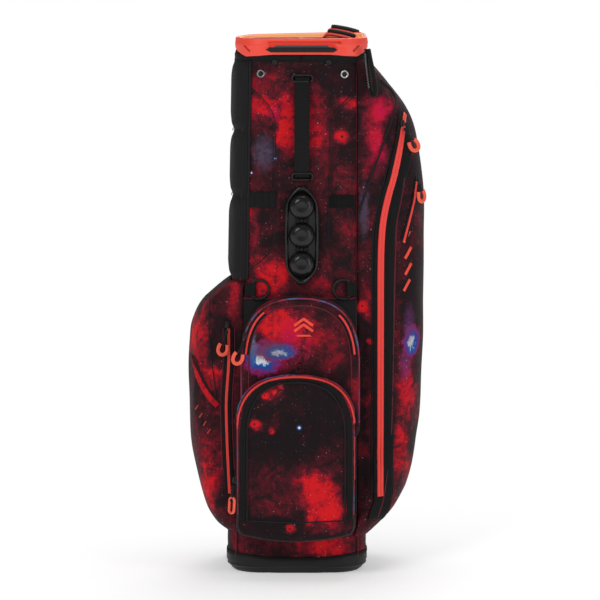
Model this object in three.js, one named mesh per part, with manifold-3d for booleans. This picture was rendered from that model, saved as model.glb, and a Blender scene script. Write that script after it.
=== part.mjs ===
// A golf stand bag standing upright on its base. Millimetres, +Z up, -Y is the front with the ball pocket,
// +X is the right side seen from the front. The origin is the middle of the base's underside.
import * as THREE from "three";
import { mergeVertices } from "three/addons/utils/BufferGeometryUtils.js";
import Module from "manifold-3d";

const wasm = await Module();
wasm.setup();

// ---- Driving dimensions ----
const GAP = 0.3;
const BODY = { halfWidth: 107, halfDepth: 110, corner: 48, bottom: 24, top: 835, fabric: 5 };
const TOP_SHIFT = 7.5; // the tube leans this far to the right at its top
const WIDTH_SCALE = { bottom: 1.056, top: 0.977 };
const BACK_SCALE = { bottom: 1.018, top: 0.964 };
const RIM_RISE = 12; // the rim is this much higher at the back
const RIM_START = 700; // the rise fades in above this height
const BALL = { pitch: 45.8, radius: 21 };
const LEG = { hingeZ: 790, y: 126, left: -82, right: 88, angle: 30, splay: 29.07, radius: 8 };
const LEG_END = { knuckle: -36, tube: -660, tip: -695, lug: -110, rodOffset: 17 };
const ROD = { radius: 3.3, bottomZ: 12.5 };
const FOOT_PLATE = { hingeY: 52, hingeZ: 13, left: -56, right: 62, back: 147 };

// ---- Materials ----
const CORAL = 0xf0452e;
const BLACK = 0x17171a;
function finish(color, roughness, metalness = 0) {
  return () => new THREE.MeshStandardMaterial({ color, roughness, metalness });
}
const printedFabric = finish(0x7a1220, 0.85);
const blackFabric = finish(BLACK, 0.9);
const webbing = finish(0x101012, 0.85);
const blackPlastic = finish(BLACK, 0.5);
const blackRubber = finish(0x141416, 0.6);
const coralPlastic = finish(CORAL, 0.4);
const steel = finish(0xc8c8cc, 0.3, 1);
const aluminium = finish(0x2a2a2e, 0.4, 0.8);

// ---- Solids ----
function toSolid(geometry) {
  const bare = geometry.clone();
  bare.deleteAttribute("normal");
  bare.deleteAttribute("uv");
  const merged = mergeVertices(bare, 1e-3);
  const mesh = new wasm.Mesh({
    numProp: 3,
    vertProperties: new Float32Array(merged.attributes.position.array),
    triVerts: new Uint32Array(merged.index.array),
  });
  return new wasm.Manifold(mesh);
}

function toGeometry(solid) {
  const mesh = solid.getMesh();
  const geometry = new THREE.BufferGeometry();
  geometry.setAttribute("position", new THREE.BufferAttribute(new Float32Array(mesh.vertProperties), 3));
  geometry.setIndex([...mesh.triVerts]);
  return geometry;
}

const join = (...geometries) => toGeometry(geometries.map(toSolid).reduce((a, b) => a.add(b)));
const cut = (geometry, ...tools) => toGeometry(tools.map(toSolid).reduce((a, b) => a.subtract(b), toSolid(geometry)));

// Moves every vertex of a geometry by a function that changes the vector it is given.
function warp(geometry, move) {
  const position = geometry.attributes.position;
  const v = new THREE.Vector3();
  for (let i = 0; i < position.count; i++) {
    v.fromBufferAttribute(position, i);
    move(v);
    position.setXYZ(i, v.x, v.y, v.z);
  }
  return geometry;
}

function extrude(shape, depth, steps = 1, curveSegments = 5) {
  return new THREE.ExtrudeGeometry(shape, { depth, steps, curveSegments, bevelEnabled: false });
}

// An outline drawn in X and Z, extruded along Y from back to front (front has the lower Y).
function frontal(shape, back, front, steps = 1, curveSegments = 5) {
  return extrude(shape, back - front, steps, curveSegments).rotateX(Math.PI / 2).translate(0, back, 0);
}

function box(x0, x1, y0, y1, z0, z1, xSteps = 1, zSteps = 1) {
  const geometry = new THREE.BoxGeometry(x1 - x0, y1 - y0, z1 - z0, xSteps, 1, zSteps);
  return geometry.translate((x0 + x1) / 2, (y0 + y1) / 2, (z0 + z1) / 2);
}

// A round bar along X, Y or Z about a centre.
function rod(axis, radius, length, x, y, z, segments = 16) {
  const geometry = new THREE.CylinderGeometry(radius, radius, length, segments);
  if (axis === "x") geometry.rotateZ(Math.PI / 2);
  if (axis === "z") geometry.rotateX(Math.PI / 2);
  return geometry.translate(x, y, z);
}

// A turned piece about Z from [radius, height] points in order from the bottom, up the outside.
function turned(points, segments = 20) {
  return new THREE.LatheGeometry(points.map(([r, z]) => new THREE.Vector2(r, z)), segments).rotateX(Math.PI / 2);
}

function roundedRect(path, x0, x1, y0, y1, radii) {
  const [r0, r1, r2, r3] = Array.isArray(radii) ? radii : [radii, radii, radii, radii];
  path.moveTo(x0 + r0, y0);
  path.lineTo(x1 - r1, y0);
  path.absarc(x1 - r1, y0 + r1, r1, -Math.PI / 2, 0, false);
  path.lineTo(x1, y1 - r2);
  path.absarc(x1 - r2, y1 - r2, r2, 0, Math.PI / 2, false);
  path.lineTo(x0 + r3, y1);
  path.absarc(x0 + r3, y1 - r3, r3, Math.PI / 2, Math.PI, false);
  path.lineTo(x0, y0 + r0);
  path.absarc(x0 + r0, y0 + r0, r0, Math.PI, 1.5 * Math.PI, false);
  return path;
}

// ---- The tube's form ----
const along = (z) => (z - BODY.bottom) / (BODY.top - BODY.bottom);
const mix = THREE.MathUtils.lerp;
const centreX = (z) => (TOP_SHIFT * z) / BODY.top;
const widthScale = (z) => mix(WIDTH_SCALE.bottom, WIDTH_SCALE.top, along(z));
const backScale = (z) => mix(BACK_SCALE.bottom, BACK_SCALE.top, along(z));

// From the upright nominal section to the real tube: leaning, tapering, and with a sloping rim.
function tubeForm(v) {
  const z = v.z;
  const fade = THREE.MathUtils.clamp((z - RIM_START) / (BODY.top - RIM_START), 0, 1);
  v.z += (fade * RIM_RISE * (v.y + BODY.halfDepth)) / (2 * BODY.halfDepth);
  v.x = v.x * widthScale(z) + centreX(z);
  if (v.y > 0) v.y *= backScale(z);
}

// The nominal tube's side X at a given Y, for a surface standing off by some distance.
function sideX(y, standOff = 0) {
  const flat = BODY.halfDepth - BODY.corner;
  if (Math.abs(y) <= flat) return BODY.halfWidth + standOff;
  const r = BODY.corner + standOff;
  return BODY.halfWidth - BODY.corner + Math.sqrt(Math.max(0, r * r - (Math.abs(y) - flat) ** 2));
}

// How far the front surface falls back from its flat middle at a real X and Z.
function frontFall(x, z) {
  const off = Math.abs((x - centreX(z)) / widthScale(z)) - (BODY.halfWidth - BODY.corner);
  return off <= 0 ? 0 : BODY.corner - Math.sqrt(Math.max(0, BODY.corner ** 2 - off ** 2));
}
const onFront = (v) => { v.y += frontFall(v.x, v.z); };

const backY = (z) => BODY.halfDepth * backScale(z);

// A closed rounded-rectangle ring between two stand-offs from the nominal tube surface.
function ring(outer, inner, z0, z1, curveSegments = 3) {
  const shape = new THREE.Shape();
  const { halfWidth: w, halfDepth: d, corner: r } = BODY;
  roundedRect(shape, -w - outer, w + outer, -d - outer, d + outer, r + outer);
  const hole = new THREE.Path();
  roundedRect(hole, -w - inner, w + inner, -d - inner, d + inner, r + inner);
  shape.holes.push(hole);
  return warp(extrude(shape, z1 - z0, 1, curveSegments).translate(0, 0, z0), tubeForm);
}

// One fabric side of the tube, between the middles of two neighbouring corners.
// The side is drawn as the back one, then turned to its place.
function tubePanel(turns) {
  const sideways = turns % 2 === 1;
  const w = (sideways ? BODY.halfDepth : BODY.halfWidth) - BODY.corner;
  const d = (sideways ? BODY.halfWidth : BODY.halfDepth) - BODY.corner;
  const trim = 0.2 / BODY.corner;
  const quarter = Math.PI / 4;
  const inner = BODY.corner - BODY.fabric;
  const shape = new THREE.Shape();
  shape.absarc(w, d, BODY.corner, quarter + trim, 2 * quarter, false);
  shape.absarc(-w, d, BODY.corner, 2 * quarter, 3 * quarter - trim, false);
  shape.absarc(-w, d, inner, 3 * quarter - trim, 2 * quarter, true);
  shape.absarc(w, d, inner, 2 * quarter, quarter + trim, true);
  const geometry = extrude(shape, BODY.top - BODY.bottom, 3, 3).translate(0, 0, BODY.bottom);
  return warp(geometry.rotateZ(turns * Math.PI / 2), tubeForm);
}

// ---- Building the scene graph ----
const bag = new THREE.Group();
function add(name, geometry, material, parent = bag) {
  const mesh = new THREE.Mesh(geometry, material());
  mesh.name = name;
  parent.add(mesh);
  return mesh;
}

function buildTube() {
  add("back_panel", tubePanel(0), printedFabric);
  add("left_panel", tubePanel(1), printedFabric);
  add("front_panel", tubePanel(2), printedFabric);
  add("right_panel", tubePanel(3), printedFabric);
  add("top_binding", ring(1.8, 0.5, 829, 834.8, 6), webbing);
  for (const [side, sign] of [["left", -1], ["right", 1]]) {
    const stay = rod("z", 3.2, 814, sign * 94.5, 0, 421, 8);
    add(`frame_stay_${side}`, warp(stay, tubeForm), blackPlastic);
  }
}

function buildBase() {
  const { left, right, hingeY, hingeZ, back } = FOOT_PLATE;
  const scale = WIDTH_SCALE.bottom;
  const outline = new THREE.Shape();
  roundedRect(outline, -BODY.halfWidth, BODY.halfWidth, -BODY.halfDepth, BODY.halfDepth, BODY.corner);
  const flare = (v) => {
    const inset = mix(0.9, 1, THREE.MathUtils.clamp(v.z / 12, 0, 1));
    v.x *= inset * scale;
    v.y *= inset * (v.y > 0 ? BACK_SCALE.bottom : 1);
  };
  const floor = warp(extrude(outline, 12, 1, 4), flare);
  const hollow = new THREE.Shape();
  const wall = 8.5;
  roundedRect(hollow, -BODY.halfWidth + wall, BODY.halfWidth - wall, -BODY.halfDepth + wall,
    BODY.halfDepth - wall, BODY.corner - wall);
  const inside = warp(extrude(hollow, 60, 1, 3).translate(0, 0, 8), flare);
  const band = ring(0, -wall, 11.5, BODY.bottom - GAP);
  const skirt = ring(-BODY.fabric - 0.5, -wall, 23, 60);
  const housing = box(left - 10, right + 10, hingeY - 16, BODY.halfDepth - 6, 7, 30);
  const recess = box(left - 4, right + 4, hingeY - 8, back, -1, 24.4);
  const pinBore = rod("x", 2.8, 160, 3, hingeY, hingeZ);
  const cup = join(cut(floor, inside), band, skirt, housing);
  add("base_cup", cut(cup, recess, pinBore), blackRubber);

  const plate = box(left, right, hingeY - 6, back, 1, 7);
  const lip = box(left, right, back - 12, back, 6, 8.2);
  const barrels = [left + 10, right - 10].map((x) => rod("x", 5, 20, x, hingeY, hingeZ));
  const webs = [left + 10, right - 10].map((x) => box(x - 10, x + 10, hingeY - 5, hingeY + 5, 6, hingeZ));
  const bore = rod("x", 2.8, 200, 3, hingeY, hingeZ);
  add("foot_plate", cut(join(plate, lip, ...barrels, ...webs), bore), blackRubber);
  add("foot_plate_pin", rod("x", 2.5, right - left + 19, (left + right) / 2, hingeY, hingeZ), steel);
}

function buildRim() {
  // The shell of the rim, its inner skirt, and the raised carrying arch at the right rear.
  const shell = ring(2.5, -12, 835.4, 861, 2);
  const skirt = ring(-BODY.fabric - 0.6, -8, 815, 836, 2);
  const arch = new THREE.Shape();
  roundedRect(arch, -34, 34, 2, 21, [1, 1, 10, 10]);
  const place = (g) => g.rotateZ(THREE.MathUtils.degToRad(-22)).translate(77, 96, 863);
  const handle = place(frontal(arch, 6.5, -6.5, 1, 3));
  const hand = place(box(-23, 23, -20, 20, 4, 14));
  const frontSeat = box(-47, 64, -120, -109, 840, 855);
  const rim = cut(join(shell, skirt, handle), hand, frontSeat);
  add("top_cuff", rim, coralPlastic);

  const handGrip = new THREE.Shape();
  roundedRect(handGrip, -21, 21, 9.5, 14 - GAP, 1.5);
  add("lift_handle_grip", place(frontal(handGrip, 7.5, -7.5, 1, 2)), blackRubber);

  const hex = new THREE.Shape();
  [[-45, 841], [62, 841], [62, 846], [43, 854], [-26, 854], [-45, 846]].forEach(([x, z], i) =>
    i ? hex.lineTo(x, z) : hex.moveTo(x, z));
  add("front_grip", frontal(hex, -109.4, -115), blackRubber);
}

// Eight wells: four rows from front to back, two across.
function buildDivider() {
  const outerX = 94.4;
  const outerY = 97.4;
  const bar = 5;
  const corner = 36;
  const frame = new THREE.Shape();
  roundedRect(frame, -outerX, outerX, -outerY, outerY, corner);
  const rows = 4;
  const pitch = (2 * outerY - bar) / rows;
  for (let row = 0; row < rows; row++) {
    const y0 = -outerY + bar + row * pitch;
    const y1 = y0 + pitch - bar;
    for (const sign of [-1, 1]) {
      const x0 = sign < 0 ? -outerX + bar : bar / 2;
      const x1 = sign < 0 ? -bar / 2 : outerX - bar;
      const big = corner - bar;
      const first = row === 0;
      const last = row === rows - 1;
      const radii = [first && sign < 0, first && sign > 0, last && sign > 0, last && sign < 0];
      frame.holes.push(roundedRect(new THREE.Path(), x0, x1, y0, y1, radii.map((r) => (r ? big : 6))));
    }
  }
  add("club_divider", warp(extrude(frame, 13, 1, 2).translate(0, 0, 838), tubeForm), blackPlastic);

  // Cloth sheets hang below the bars, one lengthwise and three across.
  const bottom = 62;
  const top = 834;
  const sheet = 1.6;
  const sheets = [box(-sheet / 2, sheet / 2, -84, 84, bottom, top)];
  for (let row = 1; row < rows; row++) {
    const y = -outerY + bar / 2 + row * pitch;
    sheets.push(box(-84, 84, y - sheet / 2, y + sheet / 2, bottom, top));
  }
  add("divider_sheets", warp(join(...sheets), tubeForm), blackFabric);
}

function buildFrontTrim() {
  const face = -BODY.halfDepth - GAP;
  const handleX = 9;
  const bracket = (z0, z1) => {
    const shape = roundedRect(new THREE.Shape(), handleX - 18, handleX + 18, z0, z1, 3);
    return frontal(shape, face, face - 8, 1, 2);
  };
  add("handle_bracket_top", bracket(793, 806), blackPlastic);
  add("handle_bracket_bottom", bracket(633, 646), blackPlastic);

  // The strap bows away from the panel so that a hand fits under it.
  const stations = 12;
  const strap = box(handleX - 12.2, handleX + 12.2, -1.5, 1.5, 647, 792, 1, stations);
  add("handle_strap", warp(strap, (v) => {
    v.y += face - 3.5 - 13 * Math.sin((Math.PI * (v.z - 647)) / 145);
  }), webbing);

  // Ball holder: a boat-shaped plate with three domes.
  const centre = { x: 8, z: 549 };
  const plate = new THREE.Shape();
  const half = 27.5;
  plate.moveTo(-9, -79);
  plate.lineTo(9, -79);
  plate.lineTo(half, -58);
  plate.lineTo(half, 58);
  plate.lineTo(9, 79);
  plate.lineTo(-9, 79);
  plate.lineTo(-half, 58);
  plate.lineTo(-half, -58);
  plate.closePath();
  const base = frontal(plate, 0, -9);
  const domes = [-1, 0, 1].map((i) => {
    const dome = new THREE.SphereGeometry(BALL.radius, 14, 10);
    return dome.scale(1, 0.9, 1).translate(0, -8, i * BALL.pitch);
  });
  const behind = box(-60, 60, 0, 60, -100, 100);
  const holder = cut(join(base, ...domes), behind).translate(centre.x, face, centre.z);
  add("ball_holder", holder, blackRubber);

  const strip = (x0, x1, z0, z1, thick) => warp(box(x0, x1, face - thick, face, z0, z1, 6), onFront);
  add("pen_loop", strip(-76, -33, 593, 618, 4), webbing);
  add("hook_patch", strip(52, 92, 592, 613, 2.5), blackFabric);

  const disc = (x, z, radius, thick) => rod("y", radius, thick, x, face - thick / 2, z, 16);
  add("snap_left", disc(-57, 806, 6.7, 3), steel);
  add("snap_right", disc(76, 805, 6.7, 3), steel);
  add("rivet_left", disc(-35, 824, 4.5, 2.5), blackPlastic);
  add("rivet_right", disc(51, 824, 4.5, 2.5), blackPlastic);
}

// A D-ring lying on the front with its straight bar upright, and the webbing tab that holds the bar.
function buildRing(side, barX, sign, z) {
  const y = -BODY.halfDepth - 1.2;
  const outline = (path, inset) => {
    const half = 17 - inset;
    path.moveTo(inset, -half);
    path.lineTo(9, -half);
    path.absellipse(9, 0, 17 - inset, half, -Math.PI / 2, Math.PI / 2, false, 0);
    path.lineTo(inset, half);
    path.closePath();
    return path;
  };
  const shape = outline(new THREE.Shape(), 0);
  shape.holes.push(outline(new THREE.Path(), 3.4));
  const geometry = frontal(shape, 0, -3.4, 1, 10);
  if (sign < 0) geometry.rotateZ(Math.PI).translate(0, -3.4, 0);
  add(`d_ring_${side}`, geometry.translate(barX, y, z), blackPlastic);
  const x0 = sign > 0 ? barX - 12 : barX + 1;
  const tab = box(x0, x0 + 11, -BODY.halfDepth - 4.5, -BODY.halfDepth - GAP, z - 11, z + 11, 4);
  add(`d_ring_tab_${side}`, warp(tab, onFront), webbing);
}

// ---- Pockets ----
// A front pocket: its outline stands off the panel and rounds over towards its front face.
function pillow(shape, front, centre) {
  const layers = [[0, 1], [0.45, 1], [0.8, 0.98], [0.95, 0.945], [1, 0.88]];
  const back = -BODY.halfDepth - 0.4;
  const geometry = extrude(shape, layers.length - 1, layers.length - 1, 7);
  return warp(geometry, (v) => {
    const [depth, size] = layers[Math.round(v.z)];
    const x = centre.x + (v.x - centre.x) * size;
    const z = centre.z + (v.y - centre.z) * size;
    v.set(x, mix(back, front, depth), z);
  });
}

// Arched outline: straight sides and a round top.
function arch(left, right, bottom, shoulder, top, droop) {
  const shape = new THREE.Shape();
  const middle = (left + right) / 2;
  const foot = 14;
  shape.moveTo(left + foot, bottom);
  shape.quadraticCurveTo(middle, bottom - 2 * droop, right - foot, bottom);
  shape.lineTo(right, bottom + foot);
  shape.lineTo(right, shoulder);
  shape.bezierCurveTo(right, mix(shoulder, top, 0.7), mix(middle, right, 0.68), top, middle, top);
  shape.bezierCurveTo(mix(middle, left, 0.68), top, left, mix(shoulder, top, 0.7), left, shoulder);
  shape.lineTo(left, bottom + foot);
  shape.closePath();
  return shape;
}

function buildFrontPockets() {
  const ball = arch(-99, 96, 68, 240, 330, 10);
  add("ball_pocket", pillow(ball, -176, { x: 0, z: 195 }), printedFabric);
  const keepOut = frontal(arch(-101, 98, 60, 240, 332, 9), -90, -190, 1, 7);
  const upper = pillow(arch(-92, 103, 222, 340, 454, 0), -146, { x: 5, z: 345 });
  const clear = box(-120, 120, -200, -90, 150, 262);
  add("upper_pocket", cut(upper, keepOut, clear), printedFabric);
}

// A side pocket: plan outlines stacked up the tube, each squeezed to the stand-off given for its height.
// levels are [height, stand-off]; the outline is drawn for the right side and mirrored for the left.
const PLAN_OFF = 1.2;
function sidePlan(points, frontAngle, rearAngle) {
  const shape = new THREE.Shape();
  const flat = BODY.halfDepth - BODY.corner;
  const r = BODY.corner + PLAN_OFF;
  const cx = BODY.halfWidth - BODY.corner;
  shape.moveTo(cx + r * Math.cos(frontAngle), -flat + r * Math.sin(frontAngle));
  shape.splineThru(points.map(([x, y]) => new THREE.Vector2(x, y)));
  shape.absarc(cx, flat, r, rearAngle, 0, true);
  shape.absarc(cx, -flat, r, 0, frontAngle, true);
  return shape;
}

function squeeze(v, sign, height, standOff, widest) {
  const surface = sideX(v.y, PLAN_OFF);
  const out = (v.x - surface) * (standOff / widest);
  v.x = sign * (surface * widthScale(height) + Math.max(0, out)) + centreX(height);
  if (v.y > 0) v.y *= backScale(height);
  v.z = height;
}

function sidePocket(plan, levels, widest, sign) {
  const geometry = extrude(plan, levels.length - 1, levels.length - 1, 2);
  warp(geometry, (v) => {
    const [height, standOff] = levels[Math.round(v.z)];
    squeeze(v, sign, height, standOff, widest);
  });
  if (sign < 0) {
    const index = [...Array(geometry.attributes.position.count).keys()];
    for (let i = 0; i < index.length; i += 3) [index[i + 1], index[i + 2]] = [index[i + 2], index[i + 1]];
    geometry.setIndex(index);
  }
  return geometry;
}

const LEFT_LEVELS = [[67, 1.5], [80, 18], [112, 37], [200, 59], [300, 66], [380, 66], [410, 60], [436, 47],
  [474, 2]];
const RIGHT_LEVELS = [[60, 1.5], [80, 24], [110, 53], [170, 73], [280, 86], [430, 90], [610, 91], [700, 81],
  [750, 63], [790, 30], [828, 2]];

function buildSidePockets() {
  const leftPlan = sidePlan([[108, -104], [138, -97], [160, -80], [172, -45], [174, 0], [164, 40], [136, 66]],
    -0.95, 0.35);
  add("left_pocket", sidePocket(leftPlan, LEFT_LEVELS, 67, -1), printedFabric);
  const rightPlan = sidePlan([[116, -103], [150, -96], [174, -80], [192, -45], [198, 0], [188, 45], [150, 78]],
    -0.84, 0.6);
  add("right_pocket", sidePocket(rightPlan, RIGHT_LEVELS, 91, 1), printedFabric);
}

// The hip pad: three cushions in one piece, wrapping the tube's front left corner.
function buildHipPad() {
  const plan = new THREE.Shape();
  const flat = BODY.halfDepth - BODY.corner;
  const cx = BODY.halfWidth - BODY.corner;
  const inner = BODY.corner + PLAN_OFF;
  plan.absarc(cx, -flat, inner + 1, -1.08, 0, false);
  plan.lineTo(BODY.halfWidth + PLAN_OFF + 1, 62);
  plan.lineTo(BODY.halfWidth + PLAN_OFF, 62);
  plan.lineTo(BODY.halfWidth + PLAN_OFF, -flat);
  plan.absarc(cx, -flat, inner, 0, -1.08, true);
  const levels = [[477, 3], [484, 9.5], [604, 9.5], [611, 3], [618, 9.5], [708, 9.5], [715, 3], [722, 9.5],
    [819, 9.5], [827, 4]];
  add("hip_pad", sidePocket(plan, levels, 1, -1), blackFabric);
}

// ---- Zip sliders and their pulls ----
// The slider rides on the zip; the pull is a cord stem with a grip loop. It hangs at an angle across the cloth
// and leans away from it.
function buildZip(name, [x, y, z], turn, hang, stem, { lean = 0, joined = false } = {}) {
  const group = new THREE.Group();
  group.position.set(x, y, z);
  group.rotation.z = THREE.MathUtils.degToRad(turn);
  bag.add(group);
  const body = frontal(roundedRect(new THREE.Shape(), -4, 4, -2, 9, 2), 2, -2, 1, 2);
  const pull = new THREE.Shape();
  pull.moveTo(-1.6, -1);
  pull.lineTo(-1.6, -stem);
  pull.lineTo(-9, -stem - 4);
  pull.lineTo(-7.5, -stem - 24);
  pull.lineTo(7.5, -stem - 24);
  pull.lineTo(9, -stem - 4);
  pull.lineTo(1.6, -stem);
  pull.lineTo(1.6, -1);
  pull.closePath();
  const eye = new THREE.Path();
  eye.moveTo(-4.6, -stem - 7);
  eye.lineTo(4.6, -stem - 7);
  eye.lineTo(4, -stem - 19);
  eye.lineTo(-4, -stem - 19);
  eye.closePath();
  pull.holes.push(eye);
  const loop = frontal(pull, -2.3, -5.3);
  loop.translate(0, 3.8, 0).rotateX(THREE.MathUtils.degToRad(-lean)).translate(0, -3.8, 0);
  loop.rotateY(THREE.MathUtils.degToRad(hang));
  if (joined) {
    add(`${name}_pull`, join(body, loop.translate(0, 0.6, 0)), coralPlastic, group);
    return;
  }
  add(`${name}_slider`, body, blackPlastic, group);
  add(`${name}_pull`, loop, coralPlastic, group);
}

function buildZips() {
  buildZip("ball_zip", [-98.5, -171.5, 160], -40, 5, 24);
  buildZip("upper_zip", [-82, -148, 388], 0, 20, 22);
  buildZip("left_zip", [-111, -106.5, 401], 0, 12, 24);
  buildZip("right_zip", [169.2, -83.9, 723], 25, -28, 24, { lean: 7 });
  buildZip("side_zip", [194.5, -62, 632], 45, -14, 12, { joined: true });
}

function buildTowelLoop() {
  const loop = box(-12.5, 12.5, -1.7, 1.7, 771, 846);
  loop.rotateZ(THREE.MathUtils.degToRad(22));
  add("towel_loop", loop.translate(117, -104, 0), webbing);
}

// ---- Carrying straps on the back ----
function buildStraps() {
  const pad = new THREE.Shape();
  pad.moveTo(123, 800);
  pad.bezierCurveTo(152, 760, 152, 640, 148, 560);
  pad.bezierCurveTo(144, 480, 132, 400, 122, 322);
  pad.lineTo(116, 322);
  pad.bezierCurveTo(122, 400, 130, 480, 134, 560);
  pad.bezierCurveTo(138, 640, 138, 740, 117, 800);
  pad.closePath();
  // The profile is drawn in Y and Z, then stood up and extruded along X.
  const strap = () => extrude(pad, 56, 1, 6).rotateX(Math.PI / 2).rotateZ(Math.PI / 2);
  add("shoulder_strap_left", strap().translate(-54, 0, 0), blackFabric);
  add("shoulder_strap_right", strap().translate(4, 0, 0), blackFabric);
  const top = roundedRect(new THREE.Shape(), -30, 38, 808, 824, 4);
  add("strap_anchor_top", frontal(top, 122, backY(816) + 0.6, 1, 2), blackPlastic);
  const low = roundedRect(new THREE.Shape(), -26, 32, 296, 320, 4);
  add("strap_anchor_bottom", frontal(low, 121, backY(296) + GAP, 1, 2), blackPlastic);
}

// ---- Stand ----
// Each leg's group has its hinge at the origin: X along the hinge pin, Y outwards, Z up.
function legFrame(side) {
  const group = new THREE.Group();
  const sign = side === "left" ? -1 : 1;
  group.position.set(LEG[side], LEG.y, LEG.hingeZ);
  group.rotation.z = -sign * THREE.MathUtils.degToRad(LEG.splay);
  group.updateMatrix();
  return { group, sign };
}

// An upright link plate with an eye at each end or slots, drawn in Y and Z about its pivot.
function eyePlate(outer, halfSlot, hole, x0, x1) {
  const shape = new THREE.Shape();
  shape.absarc(0, halfSlot, outer, 0, Math.PI, false);
  shape.absarc(0, -halfSlot, outer, Math.PI, 2 * Math.PI, false);
  const slot = new THREE.Path();
  slot.absarc(0, halfSlot, hole, 0, Math.PI, false);
  slot.absarc(0, -halfSlot, hole, Math.PI, 2 * Math.PI, false);
  shape.holes.push(slot);
  return frontal(shape, 0, x0 - x1).rotateZ(Math.PI / 2).translate(x0, 0, 0);
}

function buildLeg(side) {
  const { group, sign } = legFrame(side);
  bag.add(group);
  const barrel = rod("x", 10, 16, 0, 0, 0, 20);
  const stem = rod("z", 7.9, 36, 0, 0, -18, 20);
  const plug = rod("z", 6.4, 26, 0, 0, -48, 16);
  const bore = rod("x", 3.3, 40, 0, 0, 0);
  add(`leg_${side}_knuckle`, cut(join(barrel, stem, plug), bore), blackPlastic, group);
  add(`leg_${side}_pin`, rod("x", 3, 30, 0, 0, 0), steel, group);

  const { knuckle, tube, tip, lug, rodOffset } = LEG_END;
  const pipe = turned([[6.8, tube], [LEG.radius, tube], [LEG.radius, knuckle - GAP],
    [6.8, knuckle - GAP], [6.8, tube]]);
  const collar = turned([[7.4, lug - 12], [11.5, lug - 12], [11.5, lug + 12], [7.4, lug + 12], [7.4, lug - 12]]);
  const stub = rod("x", 2.5, 14, -sign * (rodOffset - 0.5), 0, lug);
  add(`leg_${side}_tube`, join(pipe, collar, stub), aluminium, group);

  const cap = turned([[0, tip], [9, tip + 2], [12, tip + 9], [12, tube - 12], [9.5, tube - GAP],
    [6.4, tube - GAP], [6.4, tube + 24], [0, tube + 24]]);
  add(`leg_${side}_foot`, cap, blackRubber, group);

  // The bow rod hangs beside the leg: a slotted eye on the leg's stub and a round eye on the push bar.
  const x = -sign * rodOffset;
  const low = ROD.bottomZ - LEG.hingeZ;
  const shankTop = lug - 12.5;
  const shankFoot = low + 4.5;
  const shank = rod("z", ROD.radius, shankTop - shankFoot, x, 0, (shankTop + shankFoot) / 2, 12);
  const slotted = eyePlate(6.8, 5.6, 3.9, x - 2.5, x + 2.5).translate(0, 0, lug - 1.5);
  const eye = eyePlate(6.4, 0.1, 2.9, x - 2.5, x + 2.5).translate(0, 0, low);
  add(`bow_rod_${side}`, join(shank, slotted, eye), steel, group);
}

function buildBracket() {
  const plate = box(-96, 102, 107.6, 112, 773, 807);
  const ears = [];
  for (const side of ["left", "right"]) {
    const { group } = legFrame(side);
    for (const x of [-13.6, 8.4]) {
      const ear = new THREE.Shape();
      ear.absarc(0, 0, 11, -Math.PI / 2, Math.PI / 2, false);
      const root = (x > 0) === (side === "right") ? -13.5 : -25;
      ear.lineTo(root, 11);
      ear.lineTo(root, -11);
      ear.closePath();
      const hole = new THREE.Path();
      hole.absarc(0, 0, 3.3, 0, 2 * Math.PI, false);
      ear.holes.push(hole);
      const upright = extrude(ear, 5.2).rotateX(Math.PI / 2).rotateZ(Math.PI / 2);
      ears.push(upright.translate(x, 0, 0).applyMatrix4(group.matrix));
    }
  }
  add("leg_bracket", join(plate, ...ears), blackPlastic);
}

// The push bar: a stub through each bow rod's eye, joined behind the base by a bent wire.
function buildPushBar() {
  const ends = [];
  const pieces = [];
  for (const side of ["left", "right"]) {
    const { group, sign } = legFrame(side);
    const x = -sign * LEG_END.rodOffset;
    const z = ROD.bottomZ - LEG.hingeZ;
    pieces.push(rod("x", 2.5, 18, x - sign * 5, 0, z, 12).applyMatrix4(group.matrix));
    ends.push(new THREE.Vector3(x - sign * 14, 0, z).applyMatrix4(group.matrix));
  }
  const [a, b] = ends;
  pieces.push(...ends.map((p) => new THREE.SphereGeometry(3.5, 8, 6).translate(p.x, p.y, p.z)));
  pieces.push(rod("x", 3.5, b.x - a.x, (a.x + b.x) / 2, a.y, a.z, 12));
  add("push_bar", join(...pieces), steel);
}

buildTube();
buildBase();
buildRim();
buildDivider();
buildFrontTrim();
buildRing("left", -70, 1, 462);
buildRing("right", 84, -1, 462);
buildFrontPockets();
buildSidePockets();
buildHipPad();
buildZips();
buildTowelLoop();
buildStraps();
buildLeg("left");
buildLeg("right");
buildBracket();
buildPushBar();

export default bag;
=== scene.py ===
import math

import bpy
import numpy as np
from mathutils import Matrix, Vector
from mathutils.bvhtree import BVHTree


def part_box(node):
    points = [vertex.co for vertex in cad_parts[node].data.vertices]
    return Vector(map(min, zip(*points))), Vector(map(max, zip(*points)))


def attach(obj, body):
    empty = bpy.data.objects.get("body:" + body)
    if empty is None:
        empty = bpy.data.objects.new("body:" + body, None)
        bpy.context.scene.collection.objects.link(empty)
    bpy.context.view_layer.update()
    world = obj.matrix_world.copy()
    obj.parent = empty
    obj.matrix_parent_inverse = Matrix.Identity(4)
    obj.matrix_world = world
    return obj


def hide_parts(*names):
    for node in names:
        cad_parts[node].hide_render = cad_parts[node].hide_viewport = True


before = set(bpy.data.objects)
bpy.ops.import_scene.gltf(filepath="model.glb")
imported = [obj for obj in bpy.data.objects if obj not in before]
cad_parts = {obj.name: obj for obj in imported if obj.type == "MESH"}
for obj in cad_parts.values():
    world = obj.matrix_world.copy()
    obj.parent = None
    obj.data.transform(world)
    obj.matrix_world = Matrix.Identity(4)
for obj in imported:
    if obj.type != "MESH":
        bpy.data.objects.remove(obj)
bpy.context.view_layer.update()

MM = 0.001


def box(node):
    """A CAD node's box in millimetres: (low corner, high corner) as arrays."""
    low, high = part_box(node)
    return np.array(low) / MM, np.array(high) / MM


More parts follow.
